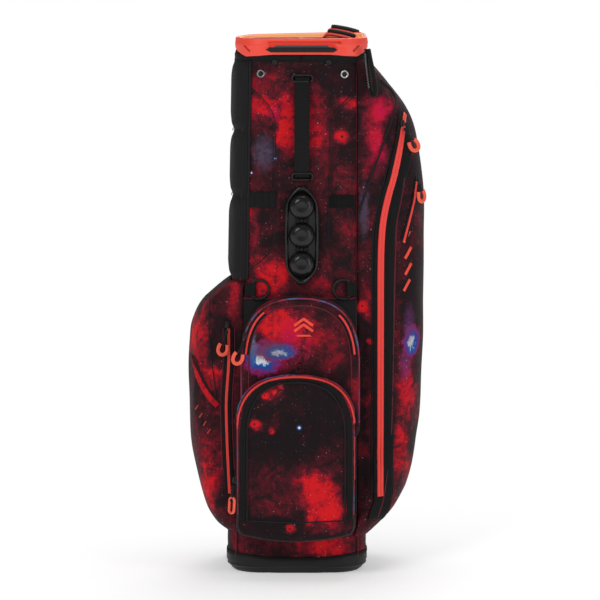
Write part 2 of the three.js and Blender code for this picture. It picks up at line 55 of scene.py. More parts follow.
# ---- Driving dimensions, the same ones the CAD tube is built on ----
HALF_WIDTH = 107.0
HALF_DEPTH = 110.0
CORNER = 48.0
FLAT_X = HALF_WIDTH - CORNER
FLAT_Y = HALF_DEPTH - CORNER
QUARTER = CORNER * math.pi / 2
TUBE_BOTTOM = box("front_panel")[0][2]
TUBE_TOP = box("front_panel")[1][2]
TOP_SHIFT = 7.5
TOP_SHIFT_HEIGHT = 835.0
WIDTH_SCALE = (1.056, 0.977)
BACK_SCALE = (1.018, 0.964)
RIM_RISE = 12.0
RIM_START = 700.0
FRONT = -HALF_DEPTH

# The section's length round, and the arc length from the front's middle to the end of the right front corner.
LOOP = 2 * (2 * FLAT_X + 2 * FLAT_Y) + 4 * QUARTER
RIGHT_START = FLAT_X + QUARTER


def lerp(a, b, t):
    return a + (b - a) * t


def smooth(t):
    t = np.clip(t, 0.0, 1.0)
    return t * t * (3 - 2 * t)


def along(z):
    return (z - TUBE_BOTTOM) / (TUBE_TOP - TUBE_BOTTOM)


def centre_x(z):
    return TOP_SHIFT * z / TOP_SHIFT_HEIGHT


def width_scale(z):
    return lerp(WIDTH_SCALE[0], WIDTH_SCALE[1], along(z))


def back_scale(z):
    return lerp(BACK_SCALE[0], BACK_SCALE[1], along(z))


def section(s, off=0.0):
    """The nominal section at arc length s from the front's middle: a point at a stand-off."""
    s = (s + LOOP / 2) % LOOP - LOOP / 2
    side = 1.0 if s >= 0 else -1.0
    s = abs(s)
    r = CORNER + off
    if s <= FLAT_X:
        x, y = s, -HALF_DEPTH - off
    elif s <= FLAT_X + QUARTER:
        a = (s - FLAT_X) / CORNER
        x, y = FLAT_X + r * math.sin(a), -FLAT_Y - r * math.cos(a)
    elif s <= FLAT_X + QUARTER + 2 * FLAT_Y:
        x, y = HALF_WIDTH + off, s - FLAT_X - QUARTER - FLAT_Y
    elif s <= FLAT_X + 2 * QUARTER + 2 * FLAT_Y:
        a = (s - FLAT_X - QUARTER - 2 * FLAT_Y) / CORNER
        x, y = FLAT_X + r * math.cos(a), FLAT_Y + r * math.sin(a)
    else:
        x, y = LOOP / 2 - s, HALF_DEPTH + off
    return side * x, y


def tube_form(x, y, z):
    """From the upright nominal section to the leaning, tapering tube with its sloping rim."""
    fade = min(max((z - RIM_START) / (TOP_SHIFT_HEIGHT - RIM_START), 0.0), 1.0)
    zz = z + fade * RIM_RISE * (y + HALF_DEPTH) / (2 * HALF_DEPTH)
    xx = x * width_scale(z) + centre_x(z)
    yy = y * back_scale(z) if y > 0 else y
    return np.array((xx, yy, zz))


def tube_point(s, z, off=0.0):
    x, y = section(s, off)
    return tube_form(x, y, z)


def tube_line(places, off=0.0, low=0.0, high=5.0):
    """A line on the tube through (arc length, height) places, and the outward direction at each."""
    path = [tube_point(s, z, off) for s, z in places]
    return path, [tube_point(s, z, high) - tube_point(s, z, low) for s, z in places]


def side_x(y, off):
    """The nominal side X at a Y."""
    if abs(y) <= FLAT_Y:
        return HALF_WIDTH + off
    r = CORNER + off
    return FLAT_X + math.sqrt(max(0.0, r * r - (abs(y) - FLAT_Y) ** 2))


def catmull(points, count):
    """A smooth path of count points through a few guide points."""
    p = np.array(points, float)
    p = np.vstack([2 * p[0] - p[1], p, 2 * p[-1] - p[-2]])
    spans = len(p) - 3
    out = []
    for u in np.linspace(0, spans, count):
        i = min(int(u), spans - 1)
        t = u - i
        a, b, c, d = p[i:i + 4]
        out.append(0.5 * (2 * b + (c - a) * t + (2 * a - 5 * b + 4 * c - d) * t * t
                          + (3 * b - a - 3 * c + d) * t ** 3))
    return np.array(out)


def even(path, step):
    """The path resampled at an even step."""
    path = np.array(path, float)
    d = np.r_[0, np.cumsum(np.linalg.norm(np.diff(path, axis=0), axis=1))]
    n = max(2, int(round(d[-1] / step)) + 1)
    t = np.linspace(0, d[-1], n)
    return np.stack([np.interp(t, d, path[:, k]) for k in range(path.shape[1])], axis=1)


# ---- Materials ----
# A band wave repeats every pi / 10 of its own unit.
WAVE_PER_PITCH = 0.314


class Nodes:
    """A small wrapper for wiring a material's nodes."""

    def __init__(self, name):
        self.material = bpy.data.materials.new(name)
        self.material.use_nodes = True
        self.tree = self.material.node_tree
        self.shader = self.tree.nodes["Principled BSDF"]
        self.coords = self.tree.nodes.new("ShaderNodeTexCoord").outputs["Object"]

    def link(self, source, target):
        if isinstance(source, (int, float)):
            target.default_value = source
        elif isinstance(source, tuple):
            target.default_value = source if len(source) == 4 or target.type == "VECTOR" else (*source, 1)
        else:
            self.tree.links.new(source, target)

    def add(self, kind, inputs=None, **settings):
        node = self.tree.nodes.new("ShaderNode" + kind)
        for key, value in settings.items():
            setattr(node, key, value)
        for key, value in (inputs or {}).items():
            self.link(value, node.inputs[key])
        return node

    def math(self, operation, a, b=0.0, clamp=False):
        return self.add("Math", {0: a, 1: b}, operation=operation, use_clamp=clamp).outputs[0]

    def noise(self, scale, detail=4.0, roughness=0.55, distortion=0.0, vector=None, colour=False):
        node = self.add("TexNoise", {"Vector": vector or self.coords, "Scale": scale, "Detail": detail,
                                     "Roughness": roughness, "Distortion": distortion})
        return node.outputs["Color" if colour else "Fac"]

    def scaled(self, vector):
        return self.add("Mapping", {"Vector": self.coords, "Scale": vector}).outputs[0]

    def ramp(self, value, stops, interpolation="LINEAR"):
        node = self.add("ValToRGB", {"Fac": value})
        node.color_ramp.interpolation = interpolation
        elements = node.color_ramp.elements
        while len(elements) < len(stops):
            elements.new(0.5)
        for element, (place, colour) in zip(elements, stops):
            element.position = place
            element.color = (*colour, 1) if len(colour) == 3 else colour
        return node.outputs["Color"]

    def span(self, value, low, high, to_low=0.0, to_high=1.0, soft=False):
        node = self.add("MapRange", {"Value": value, "From Min": low, "From Max": high,
                                     "To Min": to_low, "To Max": to_high})
        node.interpolation_type = "SMOOTHSTEP" if soft else "LINEAR"
        return node.outputs["Result"]

    def blend(self, factor, a, b, mode="MIX"):
        node = self.add("Mix", data_type="RGBA", blend_type=mode)
        self.link(factor, node.inputs["Factor"])
        self.link(a, node.inputs[6])
        self.link(b, node.inputs[7])
        return node.outputs[2]

    def bump(self, height, strength, distance, normal=None):
        inputs = {"Height": height, "Strength": strength, "Distance": distance}
        if normal is not None:
            inputs["Normal"] = normal
        return self.add("Bump", inputs).outputs[0]

    def bands(self, pitch, direction, distortion, **inputs):
        """Ribs at a pitch in millimetres."""
        scale = WAVE_PER_PITCH / (pitch * MM)
        inputs = {"Vector": self.coords, "Scale": scale, "Distortion": distortion, **inputs}
        return self.add("TexWave", inputs, wave_type="BANDS", bands_direction=direction).outputs["Fac"]

    def weave(self, pitch):
        """A plain weave: threads across all three object axes, so that it holds on any facing."""
        x, y, z = [self.bands(pitch, axis, 0.4, **{"Detail": 1.0, "Detail Scale": 2.0}) for axis in "XYZ"]
        return self.math("MAXIMUM", self.math("MAXIMUM", x, y), z)

    def rounded_edges(self, radius):
        node = self.add("Bevel", {"Radius": radius})
        node.samples = 4
        return node.outputs[0]

    def vector(self, operation, a, b=None, scale=None):
        inputs = {0: a}
        if b is not None:
            inputs[1] = b
        if scale is not None:
            inputs["Scale"] = scale
        outputs = self.add("VectorMath", inputs, operation=operation).outputs
        return outputs["Value"] if operation == "LENGTH" else outputs[0]

    def finish(self, colour, rough, normal=None, metal=0.0, sheen=0.0, specular=0.5):
        self.link(colour, self.shader.inputs["Base Color"])
        self.link(rough, self.shader.inputs["Roughness"])
        self.link(metal, self.shader.inputs["Metallic"])
        self.link(specular, self.shader.inputs["Specular IOR Level"])
        if sheen:
            self.link(sheen, self.shader.inputs["Sheen Weight"])
            self.link(0.4, self.shader.inputs["Sheen Roughness"])
        if normal is not None:
            self.link(normal, self.shader.inputs["Normal"])
        return self.material


INK = (0.0070, 0.0062, 0.0075)
DEEP = (0.0210, 0.0062, 0.0090)
MAROON = (0.105, 0.0085, 0.0165)
CRIMSON = (0.330, 0.0070, 0.0210)
SCARLET = (0.660, 0.0085, 0.0190)
ORANGE_RED = (0.84, 0.012, 0.018)
MAGENTA = (0.46, 0.002, 0.095)
CORAL = (0.93, 0.062, 0.034)


def shaded(colour, factor, add=0.0, most=1.0):
    return (*[min(most, c * factor + add) for c in colour], 1)


def plain_cloth(name, colour, weave=0.9, rough=0.85, lift=0.35, bump=0.25):
    """Plain woven cloth, its threads and a slow cloudiness both varying the shade."""
    n = Nodes(name)
    threads = n.weave(weave)
    cloudy = n.noise(35, 5, 0.6)
    tone = n.math("ADD", n.math("MULTIPLY", threads, 0.5), n.math("MULTIPLY", cloudy, 0.7))
    shade = n.blend(tone, shaded(colour, 1 - lift), shaded(colour, 1 + lift, 0.004, most=2.0))
    normal = n.bump(threads, bump, 0.0006, n.bump(n.noise(18, 3), 0.12, 0.004))
    roughness = n.span(cloudy, 0.3, 0.7, rough - 0.08, rough + 0.06)
    return n.finish(shade, roughness, normal, sheen=0.04, specular=0.14)


def webbing_cloth(name, colour=(0.0048, 0.0048, 0.0054), rib=2.4, axis="Z"):
    """Ribbed webbing: ribs across one axis, and a fine diagonal twill."""
    n = Nodes(name)
    ribs = n.bands(rib, axis, 0.3)
    fine = n.bands(0.9, "DIAGONAL", 0.5)
    tone = n.math("ADD", n.math("MULTIPLY", ribs, 0.6), n.math("MULTIPLY", fine, 0.4))
    shade = n.blend(tone, shaded(colour, 0.6), shaded(colour, 2.0, 0.002))
    normal = n.bump(ribs, 0.5, 0.0008, n.bump(fine, 0.25, 0.0004))
    return n.finish(shade, n.span(fine, 0, 1, 0.6, 0.82), normal, sheen=0.03, specular=0.16)


def moulding(name, colour, rough=0.45, grain=900, grain_bump=0.10, wear=0.0, specular=0.5):
    """Moulded plastic or rubber with a fine spark-eroded grain and slightly rubbed edges."""
    n = Nodes(name)
    fine = n.noise(grain, 2, 0.6)
    cloudy = n.noise(22, 4, 0.6)
    shade = n.blend(n.math("MULTIPLY", cloudy, 0.5), (*colour, 1), shaded(colour, 1.25, 0.003))
    if wear:
        edge = n.span(n.add("NewGeometry").outputs["Pointiness"], 0.52, 0.60)
        shade = n.blend(n.math("MULTIPLY", edge, wear, True), shade, shaded(colour, 1.6, 0.02))
    normal = n.bump(fine, grain_bump, 0.0004, n.rounded_edges(0.0012))
    return n.finish(shade, n.span(cloudy, 0.3, 0.7, rough - 0.06, rough + 0.08), normal, specular=specular)


def metal(name, colour, rough=0.25, brushed="Z"):
    """Brushed and slightly smudged metal."""
    n = Nodes(name)
    stretch = tuple(4 if axis == brushed else 900 for axis in "XYZ")
    streaks = n.noise(1.0, 3, 0.6, vector=n.scaled(stretch))
    smudge = n.noise(30, 4, 0.6)
    normal = n.bump(streaks, 0.08, 0.0003, n.rounded_edges(0.0008))
    shade = n.blend(smudge, shaded(colour, 0.85), (*colour, 1))
    return n.finish(shade, n.span(smudge, 0.3, 0.7, rough - 0.05, rough + 0.12), normal, metal=1.0)


class PrintNodes(Nodes):
    """The printed cloth's nodes. Places and sizes are millimetres in the front view."""

    def __init__(self, name):
        super().__init__(name)
        base = self.vector("ADD", self.coords, (0, 0, 0))
        self.near = self.shifted(base, self.coords, 90, 14)
        self.warped = self.shifted(base, self.near, 17, 56)
        self.gas = self.noise(12, 9, 0.62, 0.9, vector=base)
        self.wisp = self.noise(44, 9, 0.72, 0.6, vector=base)
        self.dust = self.noise(170, 5, 0.75, 0.3, vector=base)
        self.grain = self.noise(900, 2, 0.8, vector=base)

    def shifted(self, base, vector, scale, reach):
        """A space pulled about by a swirl of noise."""
        swirl = self.noise(scale, 4, 0.6, vector=base, colour=True)
        swirl = self.vector("SUBTRACT", swirl, (0.5, 0.5, 0.5))
        return self.vector("ADD", vector, self.vector("SCALE", swirl, scale=reach * MM))

    def distance(self, x, z, half_w, half_h, vector):
        offset = self.vector("SUBTRACT", vector, (x * MM, 0, z * MM))
        shaped = self.vector("MULTIPLY", offset, (1 / (half_w * MM), 0, 1 / (half_h * MM)))
        return self.vector("LENGTH", shaped)

    def cloud_level(self, clouds, ground):
        """How much red there is, and how much of it turns magenta."""
        level = self.math("ADD", self.span(self.gas, 0.41, 0.71, 0.0, 0.40), ground)
        pink = None
        for *place, strength, share in clouds:
            glow = self.span(self.distance(*place, self.warped), 1.55, 0.25, 0.0, strength, True)
            level = self.math("ADD", level, glow)
            if share:
                pink = self.math("ADD", pink or 0.0, self.math("MULTIPLY", glow, share))
        texture = self.math("ADD", self.span(self.wisp, 0.30, 0.70, 0.20, 1.25),
                            self.span(self.dust, 0.30, 0.70, -0.16, 0.24))
        level = self.math("MULTIPLY", level, texture)
        return self.math("ADD", level, self.span(self.grain, 0.25, 0.75, -0.045, 0.045)), pink

    def ring(self, level, x, z, radius):
        """A glow with a small dark eye."""
        d = self.distance(x, z, radius, radius, self.near)
        level = self.math("ADD", level, self.span(d, 1.7, 0.35, 0.0, 0.66, True))
        eye = self.distance(x, z, radius, radius, self.coords)
        return self.math("MULTIPLY", level, self.span(eye, 0.13, 0.24, 0.05, 1.0))

    def nebula(self, colour, x, z, half_w, half_h):
        """A star cluster: a white core in blue, fading through violet."""
        d = self.distance(x, z, half_w, half_h, self.warped if half_w > 30 else self.near)
        d = self.math("ADD", d, self.span(self.wisp, 0.3, 0.72, 0.34, -0.34))
        d = self.math("ADD", d, self.span(self.dust, 0.3, 0.7, 0.22, -0.22))
        core = self.ramp(self.math("DIVIDE", d, 2.0), NEBULA_RAMP)
        return self.blend(self.span(d, 1.85, 1.35, 0.0, 1.0, True), colour, core)

    def haze(self, colour, x, z, half_w, half_h, tone):
        d = self.distance(x, z, half_w, half_h, self.near)
        veil = self.math("MULTIPLY", self.span(d, 1.5, 0.3, 0.0, 0.9, True),
                         self.span(self.dust, 0.3, 0.66, 0.25, 1.0), True)
        return self.blend(veil, colour, (*tone, 1))

    def stars(self, colour, strength):
        """Flat spots, placed in X and Z on cloth that faces front or back, and in Y and Z on the sides."""
        place = self.add("SeparateXYZ", {"Vector": self.coords})
        facing = self.add("SeparateXYZ", {"Vector": self.add("TexCoord").outputs["Normal"]})
        sideways = self.math("GREATER_THAN", self.math("ABSOLUTE", facing.outputs[0]), 0.75)
        across = self.add("Mix", data_type="FLOAT")
        self.link(sideways, across.inputs["Factor"])
        self.link(place.outputs[0], across.inputs[2])
        self.link(place.outputs[1], across.inputs[3])
        flat = self.add("CombineXYZ", {0: across.outputs[0], 1: place.outputs[2], 2: 0.0}).outputs[0]
        cluster = self.span(self.gas, 0.42, 0.64, 0.12, 1.0)
        for scale, keep, size, glow in STAR_LAYERS:
            cells = self.add("TexVoronoi", {"Vector": flat, "Scale": scale, "Randomness": 1.0},
                             voronoi_dimensions="2D")
            tint = self.add("SeparateColor", {"Color": cells.outputs["Color"]})
            chosen = self.math("GREATER_THAN", tint.outputs[0], keep)
            spot = self.span(cells.outputs["Distance"], size, size * 0.45)
            star = self.math("MULTIPLY", self.math("MULTIPLY", spot, chosen),
                             self.math("MULTIPLY", cluster, strength * glow), True)
            colour = self.blend(star, colour, self.ramp(tint.outputs[1], STAR_RAMP))
        return colour

    def big_star(self, colour, x, z, radius, tone=(0.75, 0.85, 1.0)):
        """One large star with a blue halo."""
        offset = self.vector("SUBTRACT", self.coords, (x * MM, 0, z * MM))
        d = self.vector("LENGTH", self.vector("MULTIPLY", offset, (1, 0, 1)))
        halo = self.span(d, radius * 2.4 * MM, radius * 0.8 * MM, 0, 0.6, True)
        colour = self.blend(halo, colour, (0.03, 0.10, 0.35, 1))
        return self.blend(self.span(d, radius * MM, radius * 0.6 * MM), colour, (*tone, 1))


CLOUD_RAMP = [(0.0, INK), (0.16, DEEP), (0.34, MAROON), (0.55, CRIMSON), (0.76, SCARLET), (1.0, ORANGE_RED)]
NEBULA_RAMP = [(0.0, (0.92, 0.94, 1.0)), (0.24, (0.86, 0.91, 1.0)), (0.28, (0.07, 0.30, 0.72)),
               (0.36, (0.012, 0.095, 0.42)), (0.50, (0.045, 0.060, 0.36)), (0.60, (0.17, 0.045, 0.26)),
               (0.72, (0.34, 0.004, 0.105)), (0.90, (0.16, 0.006, 0.030))]
STAR_RAMP = [(0.0, (0.55, 0.05, 0.07)), (0.34, (0.60, 0.10, 0.10)), (0.36, (0.42, 0.56, 0.62)),
             (0.8, (0.75, 0.78, 0.82)), (1.0, (0.30, 0.55, 0.72))]
# Star layers, fine to coarse: cells per metre, share of cells left empty, spot size and brightness.
STAR_LAYERS = ((150, 0.72, 0.095, 0.58), (84, 0.85, 0.066, 0.95), (27, 0.86, 0.028, 1.3))


def printed_cloth(name, clouds, rings=(), nebulae=(), hazes=(), stars=1.0, ground=0.16, big_stars=()):
    """The printed cloth: drifting red clouds on near-black, ring glows, star clusters and a field of stars.
    clouds are (x, z, half width, half height, strength, magenta share); rings are (x, z, radius);
    nebulae are (x, z, half width, half height); hazes are the same with a colour;
    big_stars are (x, z, radius) with an optional colour."""
    n = PrintNodes(name)
    level, pink = n.cloud_level(clouds, ground)
    for place in rings:
        level = n.ring(level, *place)
    colour = n.ramp(level, CLOUD_RAMP)
    if pink:
        colour = n.blend(n.math("MULTIPLY", pink, n.span(n.wisp, 0.36, 0.62), True), colour, (*MAGENTA, 1))
    for place in nebulae:
        colour = n.nebula(colour, *place)
    for place in hazes:
        colour = n.haze(colour, *place)
    colour = n.stars(colour, stars)
    threads = n.weave(1.1)
    colour = n.blend(n.math("MULTIPLY", threads, 0.22), colour, (0.0, 0.0, 0.0, 1))
    for place in big_stars:
        colour = n.big_star(colour, *place)
    normal = n.bump(threads, 0.30, 0.0006, n.bump(n.noise(24, 3), 0.15, 0.003))
    return n.finish(colour, n.span(n.wisp, 0.3, 0.7, 0.66, 0.82), normal, sheen=0.03, specular=0.14)


MAT = {}


def finish(slot, key, make, *look, name=None, **more):
    """Makes a material under a key. Its slot argument, the CAD colour slot it fills, is not used."""
    MAT[key] = make(name or key, *look, **more)


def make_cloths():
    slot = "black_fabric"
    finish(slot, "black_cloth", plain_cloth, (0.0075, 0.0075, 0.0085))
    finish(slot, "pad_cloth", plain_cloth, (0.0070, 0.0070, 0.0080), weave=1.6, bump=0.4)
    finish(slot, "air_mesh", plain_cloth, (0.0085, 0.0085, 0.0095), weave=2.6, bump=0.8, lift=0.6)
    finish(slot, "hook", plain_cloth, (0.004, 0.004, 0.0045), weave=1.3, rough=0.95, lift=0.6, bump=0.9)
    finish(slot, "thread_dark", plain_cloth, (0.010, 0.008, 0.010), weave=0.5, name="dark_thread")
    finish(slot, "thread_light", plain_cloth, (0.30, 0.30, 0.30), weave=0.5, name="light_thread")
    finish(slot, "piping", plain_cloth, (0.010, 0.009, 0.011), weave=0.7, rough=0.7)
    finish(slot, "cord", plain_cloth, (0.009, 0.009, 0.010), weave=0.8, rough=0.6)
    slot = "printed_fabric"
    finish(slot, "thread_red", plain_cloth, (0.20, 0.012, 0.022), weave=0.5, name="red_thread")
    finish(slot, "piping_print", plain_cloth, (0.085, 0.010, 0.020), weave=0.7, rough=0.7, lift=0.7)
    finish(slot, "piping_rim", banded_piping)
    slot = "webbing"
    finish(slot, "webbing", webbing_cloth)
    finish(slot, "webbing_across", webbing_cloth, axis="X")
    finish(slot, "tape", webbing_cloth, (0.0050, 0.0050, 0.0056), rib=1.1, name="zip_tape")
    finish(slot, "binding", webbing_cloth, (0.0055, 0.0055, 0.0060), rib=1.4)


def banded_piping(name):
    """Piping cut from the print, so that its colour changes along its length."""
    n = Nodes(name)
    colour = n.ramp(n.noise(26, 3, 0.6), [
        (0.0, (0.02, 0.01, 0.015)), (0.40, (0.10, 0.008, 0.02)), (0.50, (0.42, 0.01, 0.05)),
        (0.57, (0.16, 0.03, 0.16)), (0.63, (0.03, 0.16, 0.30)), (0.72, (0.20, 0.01, 0.03))])
    return n.finish(colour, 0.7, n.bump(n.weave(0.7), 0.3, 0.0005), sheen=0.1)


def make_mouldings():
    slot = "coral_plastic"
    finish(slot, "zip_coral", moulding, (0.86, 0.040, 0.030), rough=0.5, grain=500, grain_bump=0.25,
           name="coated_zip")
    finish(slot, "coral", moulding, CORAL, rough=0.42, grain=700, grain_bump=0.06, wear=0.25,
           name="coral_moulding")
    # The lining's paler orange is painted light on the rim's inner face.
    finish(slot, "coral_inside", moulding, (1.0, 0.46, 0.19), rough=0.5, grain=700, grain_bump=0.06)
    # A weak glow stands for the light that reaches the rim's inner face through the open top.
    lining = MAT["coral_inside"].node_tree.nodes["Principled BSDF"]
    lining.inputs["Emission Color"].default_value = (1.0, 0.30, 0.09, 1)
    lining.inputs["Emission Strength"].default_value = 0.25
    finish(slot, "coral_grip", moulding, (0.93, 0.105, 0.050), rough=0.5, grain=600, grain_bump=0.15)
    finish(slot, "coral_shadow", moulding, (0.36, 0.012, 0.010), rough=0.6)
    finish(slot, "mark", plain_cloth, (0.80, 0.075, 0.045), weave=0.7, rough=0.7, name="coral_mark")
    finish(slot, "mark_dull", plain_cloth, (0.36, 0.035, 0.028), weave=0.7, rough=0.7, name="coral_mark_dull")
    finish("black_plastic", "plastic", moulding, (0.0050, 0.0050, 0.0056), rough=0.38, wear=0.2,
           specular=0.34, name="black_moulding")
    slot, black = "black_rubber", (0.0055, 0.0055, 0.0062)
    finish(slot, "rubber", moulding, black, rough=0.50, grain=500, grain_bump=0.2, wear=0.2, specular=0.3,
           name="black_rubber")
    finish(slot, "gloss_rubber", moulding, black, rough=0.26, grain_bump=0.04, specular=0.36)
    finish(slot, "grip_grey", moulding, (0.055, 0.055, 0.058), rough=0.5, grain=500, grain_bump=0.2)


def make_metals():
    finish("steel", "steel", metal, (0.60, 0.60, 0.62), 0.24, "X", name="plated_steel")
    finish("steel", "rod_steel", metal, (0.30, 0.30, 0.32), 0.30, "Z")
    finish("aluminium_tube", "tube_metal", metal, (0.045, 0.045, 0.050), 0.34, "Z", name="anodised_tube")


make_cloths()
make_mouldings()
make_metals()


# ---- Mesh helpers ----
def add_mesh(name, verts, faces, material, body="bag", nodes=(), angle=None):
    """A smooth-shaded mesh in the scene, riding a CAD body and standing in for CAD nodes."""
    mesh = bpy.data.meshes.new(name)
    mesh.from_pydata([tuple(float(c) * MM for c in v) for v in verts], [], [tuple(f) for f in faces])
    mesh.validate()
    obj = bpy.data.objects.new(name, mesh)
    bpy.context.scene.collection.objects.link(obj)
    mesh.materials.append(MAT[material])
    mesh.polygons.foreach_set("use_smooth", [True] * len(mesh.polygons))
    if angle is not None:
        mesh.set_sharp_from_angle(angle=math.radians(angle))
    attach(obj, body)
    if nodes:
        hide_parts(*nodes)
    return obj


def grid_faces(rows, cols, wrap=False):
    faces = []
    for r in range(rows - 1):
        low, high = r * cols, (r + 1) * cols
        for c in range(cols if wrap else cols - 1):
            d = (c + 1) % cols
            faces.append((low + c, low + d, high + d, high + c))
    return faces


def flipped(faces):
    return [tuple(reversed(f)) for f in faces]


def thicken(obj, thickness, offset=-1.0):
    modifier = obj.modifiers.new("thickness", "SOLIDIFY")
    modifier.thickness = thickness * MM
    modifier.offset = offset
    return obj


def path_frames(path, normals):
    path = np.array(path, float)
    tangent = np.gradient(path, axis=0)
    tangent /= np.linalg.norm(tangent, axis=1)[:, None] + 1e-9
    normals = np.array(normals, float)
    normals = normals - tangent * np.sum(normals * tangent, axis=1)[:, None]
    normals /= np.linalg.norm(normals, axis=1)[:, None] + 1e-9
    return tangent, normals, np.cross(tangent, normals)


def sweep(path, normals, profile, closed=False):
    """Vertices and faces of a profile of (sideways, outwards) points swept along a path."""
    _, out, side = path_frames(path, normals)
    profile = np.array(profile, float)
    k = len(profile)
    verts = []
    for p, o, s in zip(np.array(path, float), out, side):
        verts.extend(p + s * a + o * b for a, b in profile)
    faces = flipped(grid_faces(len(path), k, True))
    if closed:
        last = (len(path) - 1) * k
        faces += [(last + (c + 1) % k, last + c, c, (c + 1) % k) for c in range(k)]
        faces = [tuple(reversed(f)) if i >= len(faces) - k else f for i, f in enumerate(faces)]
    else:
        faces.append(tuple(range(k)))
        faces.append(tuple(reversed(range((len(path) - 1) * k, len(path) * k))))
    return verts, faces


def swept(name, path, normals, profile, material, closed=False, **look):
    """A piece made by sweeping a profile along a path."""
    return add_mesh(name, *sweep(path, normals, profile, closed), material, **look)


def merge(parts):
    verts, faces = [], []
    for v, f in parts:
        start = len(verts)
        verts.extend(v)
        faces.extend(tuple(i + start for i in face) for face in f)
    return verts, faces


def round_profile(radius, sides=8, lift=0.0):
    return [(radius * math.cos(a), lift + radius * math.sin(a))
            for a in np.linspace(0, 2 * math.pi, sides, endpoint=False)]


def flat_profile(width, thick, base=0.0, crown=0.0):
    """A band lying on the surface, its upper side crowned and its edges rounded."""
    half = width / 2
    top = base + thick
    return [(-half, base), (-half, base + thick * 0.6), (-half * 0.86, top), (0, top + crown),
            (half * 0.86, top), (half, base + thick * 0.6), (half, base)][::-1]


def rope(name, path, normals, radius, material, sides=8, lift=0.0):
    return swept(name, path, normals, round_profile(radius, sides, lift=lift), material)


def stitches(name, path, normals, material, pitch=3.2, length=2.1, radius=0.35, lift=0.15, sideways=0.0):
    """A row of short thread stitches along a path."""
    path = np.array(path, float)
    _, out, side = path_frames(path, normals)
    path = path + side * sideways + out * lift
    d = np.r_[0, np.cumsum(np.linalg.norm(np.diff(path, axis=0), axis=1))]
    parts = []
    for start in np.arange(pitch / 2, d[-1] - length, pitch):
        t = np.array([start, start + length / 2, start + length])
        pts = np.stack([np.interp(t, d, path[:, k]) for k in range(3)], axis=1)
        nrm = np.stack([np.interp(t, d, out[:, k]) for k in range(3)], axis=1)
        pts[1] += nrm[1] * radius * 0.6
        parts.append(sweep(pts, nrm, round_profile(radius, 5)))
    return add_mesh(name, *merge(parts), material)


class Surface:
    """A finished shell that trims are laid on."""

    def __init__(self, verts, faces):
        self.tree = BVHTree.FromPolygons([Vector(v) for v in verts], [tuple(f) for f in faces])

    def drop(self, points, direction, lift=0.0):
        """Points dropped onto the shell along a direction, from outside: places and normals."""
        d = Vector(direction).normalized()
        places, normals = [], []
        for p in points:
            start = Vector(p) - d * 400
            hit, normal, _, _ = self.tree.ray_cast(start, d)
            if hit is None:
                hit, normal, _, _ = self.tree.find_nearest(Vector(p))
            if normal.dot(d) > 0:
                normal = -normal
            places.append(np.array(hit + normal * lift))
            normals.append(np.array(normal))
        return np.array(places), soften(np.array(normals))

    def front(self, xz, lift=0.0, step=4.0, y=-150.0):
        pts = even(np.array([(x, y, z) for x, z in xz]), step)
        return self.drop(pts, (0, 1, 0), lift)


def soften(vectors, rounds=3):
    v = vectors.copy()
    for _ in range(rounds):
        v[1:-1] = (v[:-2] + v[1:-1] * 2 + v[2:]) / 4
        v /= np.linalg.norm(v, axis=1)[:, None] + 1e-9
    return v


def inflate(verts, faces, pinned, pressure, cap, shrink=0.0, frames=14, stiffness=15.0):
    """Cloth simulation of a sewn shell: pinned seams stay, the cloth between them swells and wrinkles."""
    verts = np.array(verts, float)
    mesh = bpy.data.meshes.new("cloth_work")
    mesh.from_pydata([tuple(v * MM) for v in verts], [], [tuple(f) for f in faces])
    obj = bpy.data.objects.new("cloth_work", mesh)
    scene = bpy.context.scene
    scene.collection.objects.link(obj)
    group = obj.vertex_groups.new(name="seams")
    group.add([int(i) for i in np.nonzero(pinned)[0]], 1.0, "REPLACE")
    cloth = obj.modifiers.new("cloth", "CLOTH")
    s = cloth.settings
    s.quality = 6
    s.mass = 0.3
    s.tension_stiffness = stiffness
    s.compression_stiffness = stiffness
    s.shear_stiffness = stiffness / 3
    s.bending_stiffness = 0.4
    s.use_pressure = True
    s.uniform_pressure_force = pressure
    s.effector_weights.gravity = 0.0
    s.vertex_group_mass = "seams"
    s.shrink_min = -shrink
    cloth.point_cache.frame_start = 1
    cloth.point_cache.frame_end = frames
    for frame_number in range(1, frames + 1):
        scene.frame_set(frame_number)
    evaluated = obj.evaluated_get(bpy.context.evaluated_depsgraph_get())
    co = np.zeros(len(verts) * 3)
    evaluated.data.vertices.foreach_get("co", co)
    moved = co.reshape(-1, 3) / MM - verts
    far = np.linalg.norm(moved, axis=1)
    moved *= np.minimum(1.0, cap / np.maximum(far, 1e-6))[:, None]
    scene.frame_set(1)
    bpy.data.objects.remove(obj)
    bpy.data.meshes.remove(mesh)
    return verts + moved


# ---- Print zones ----
LILAC = (0.115, 0.080, 0.140)
ICE = (0.12, 0.26, 0.40)
PLUM = (0.18, 0.035, 0.17)


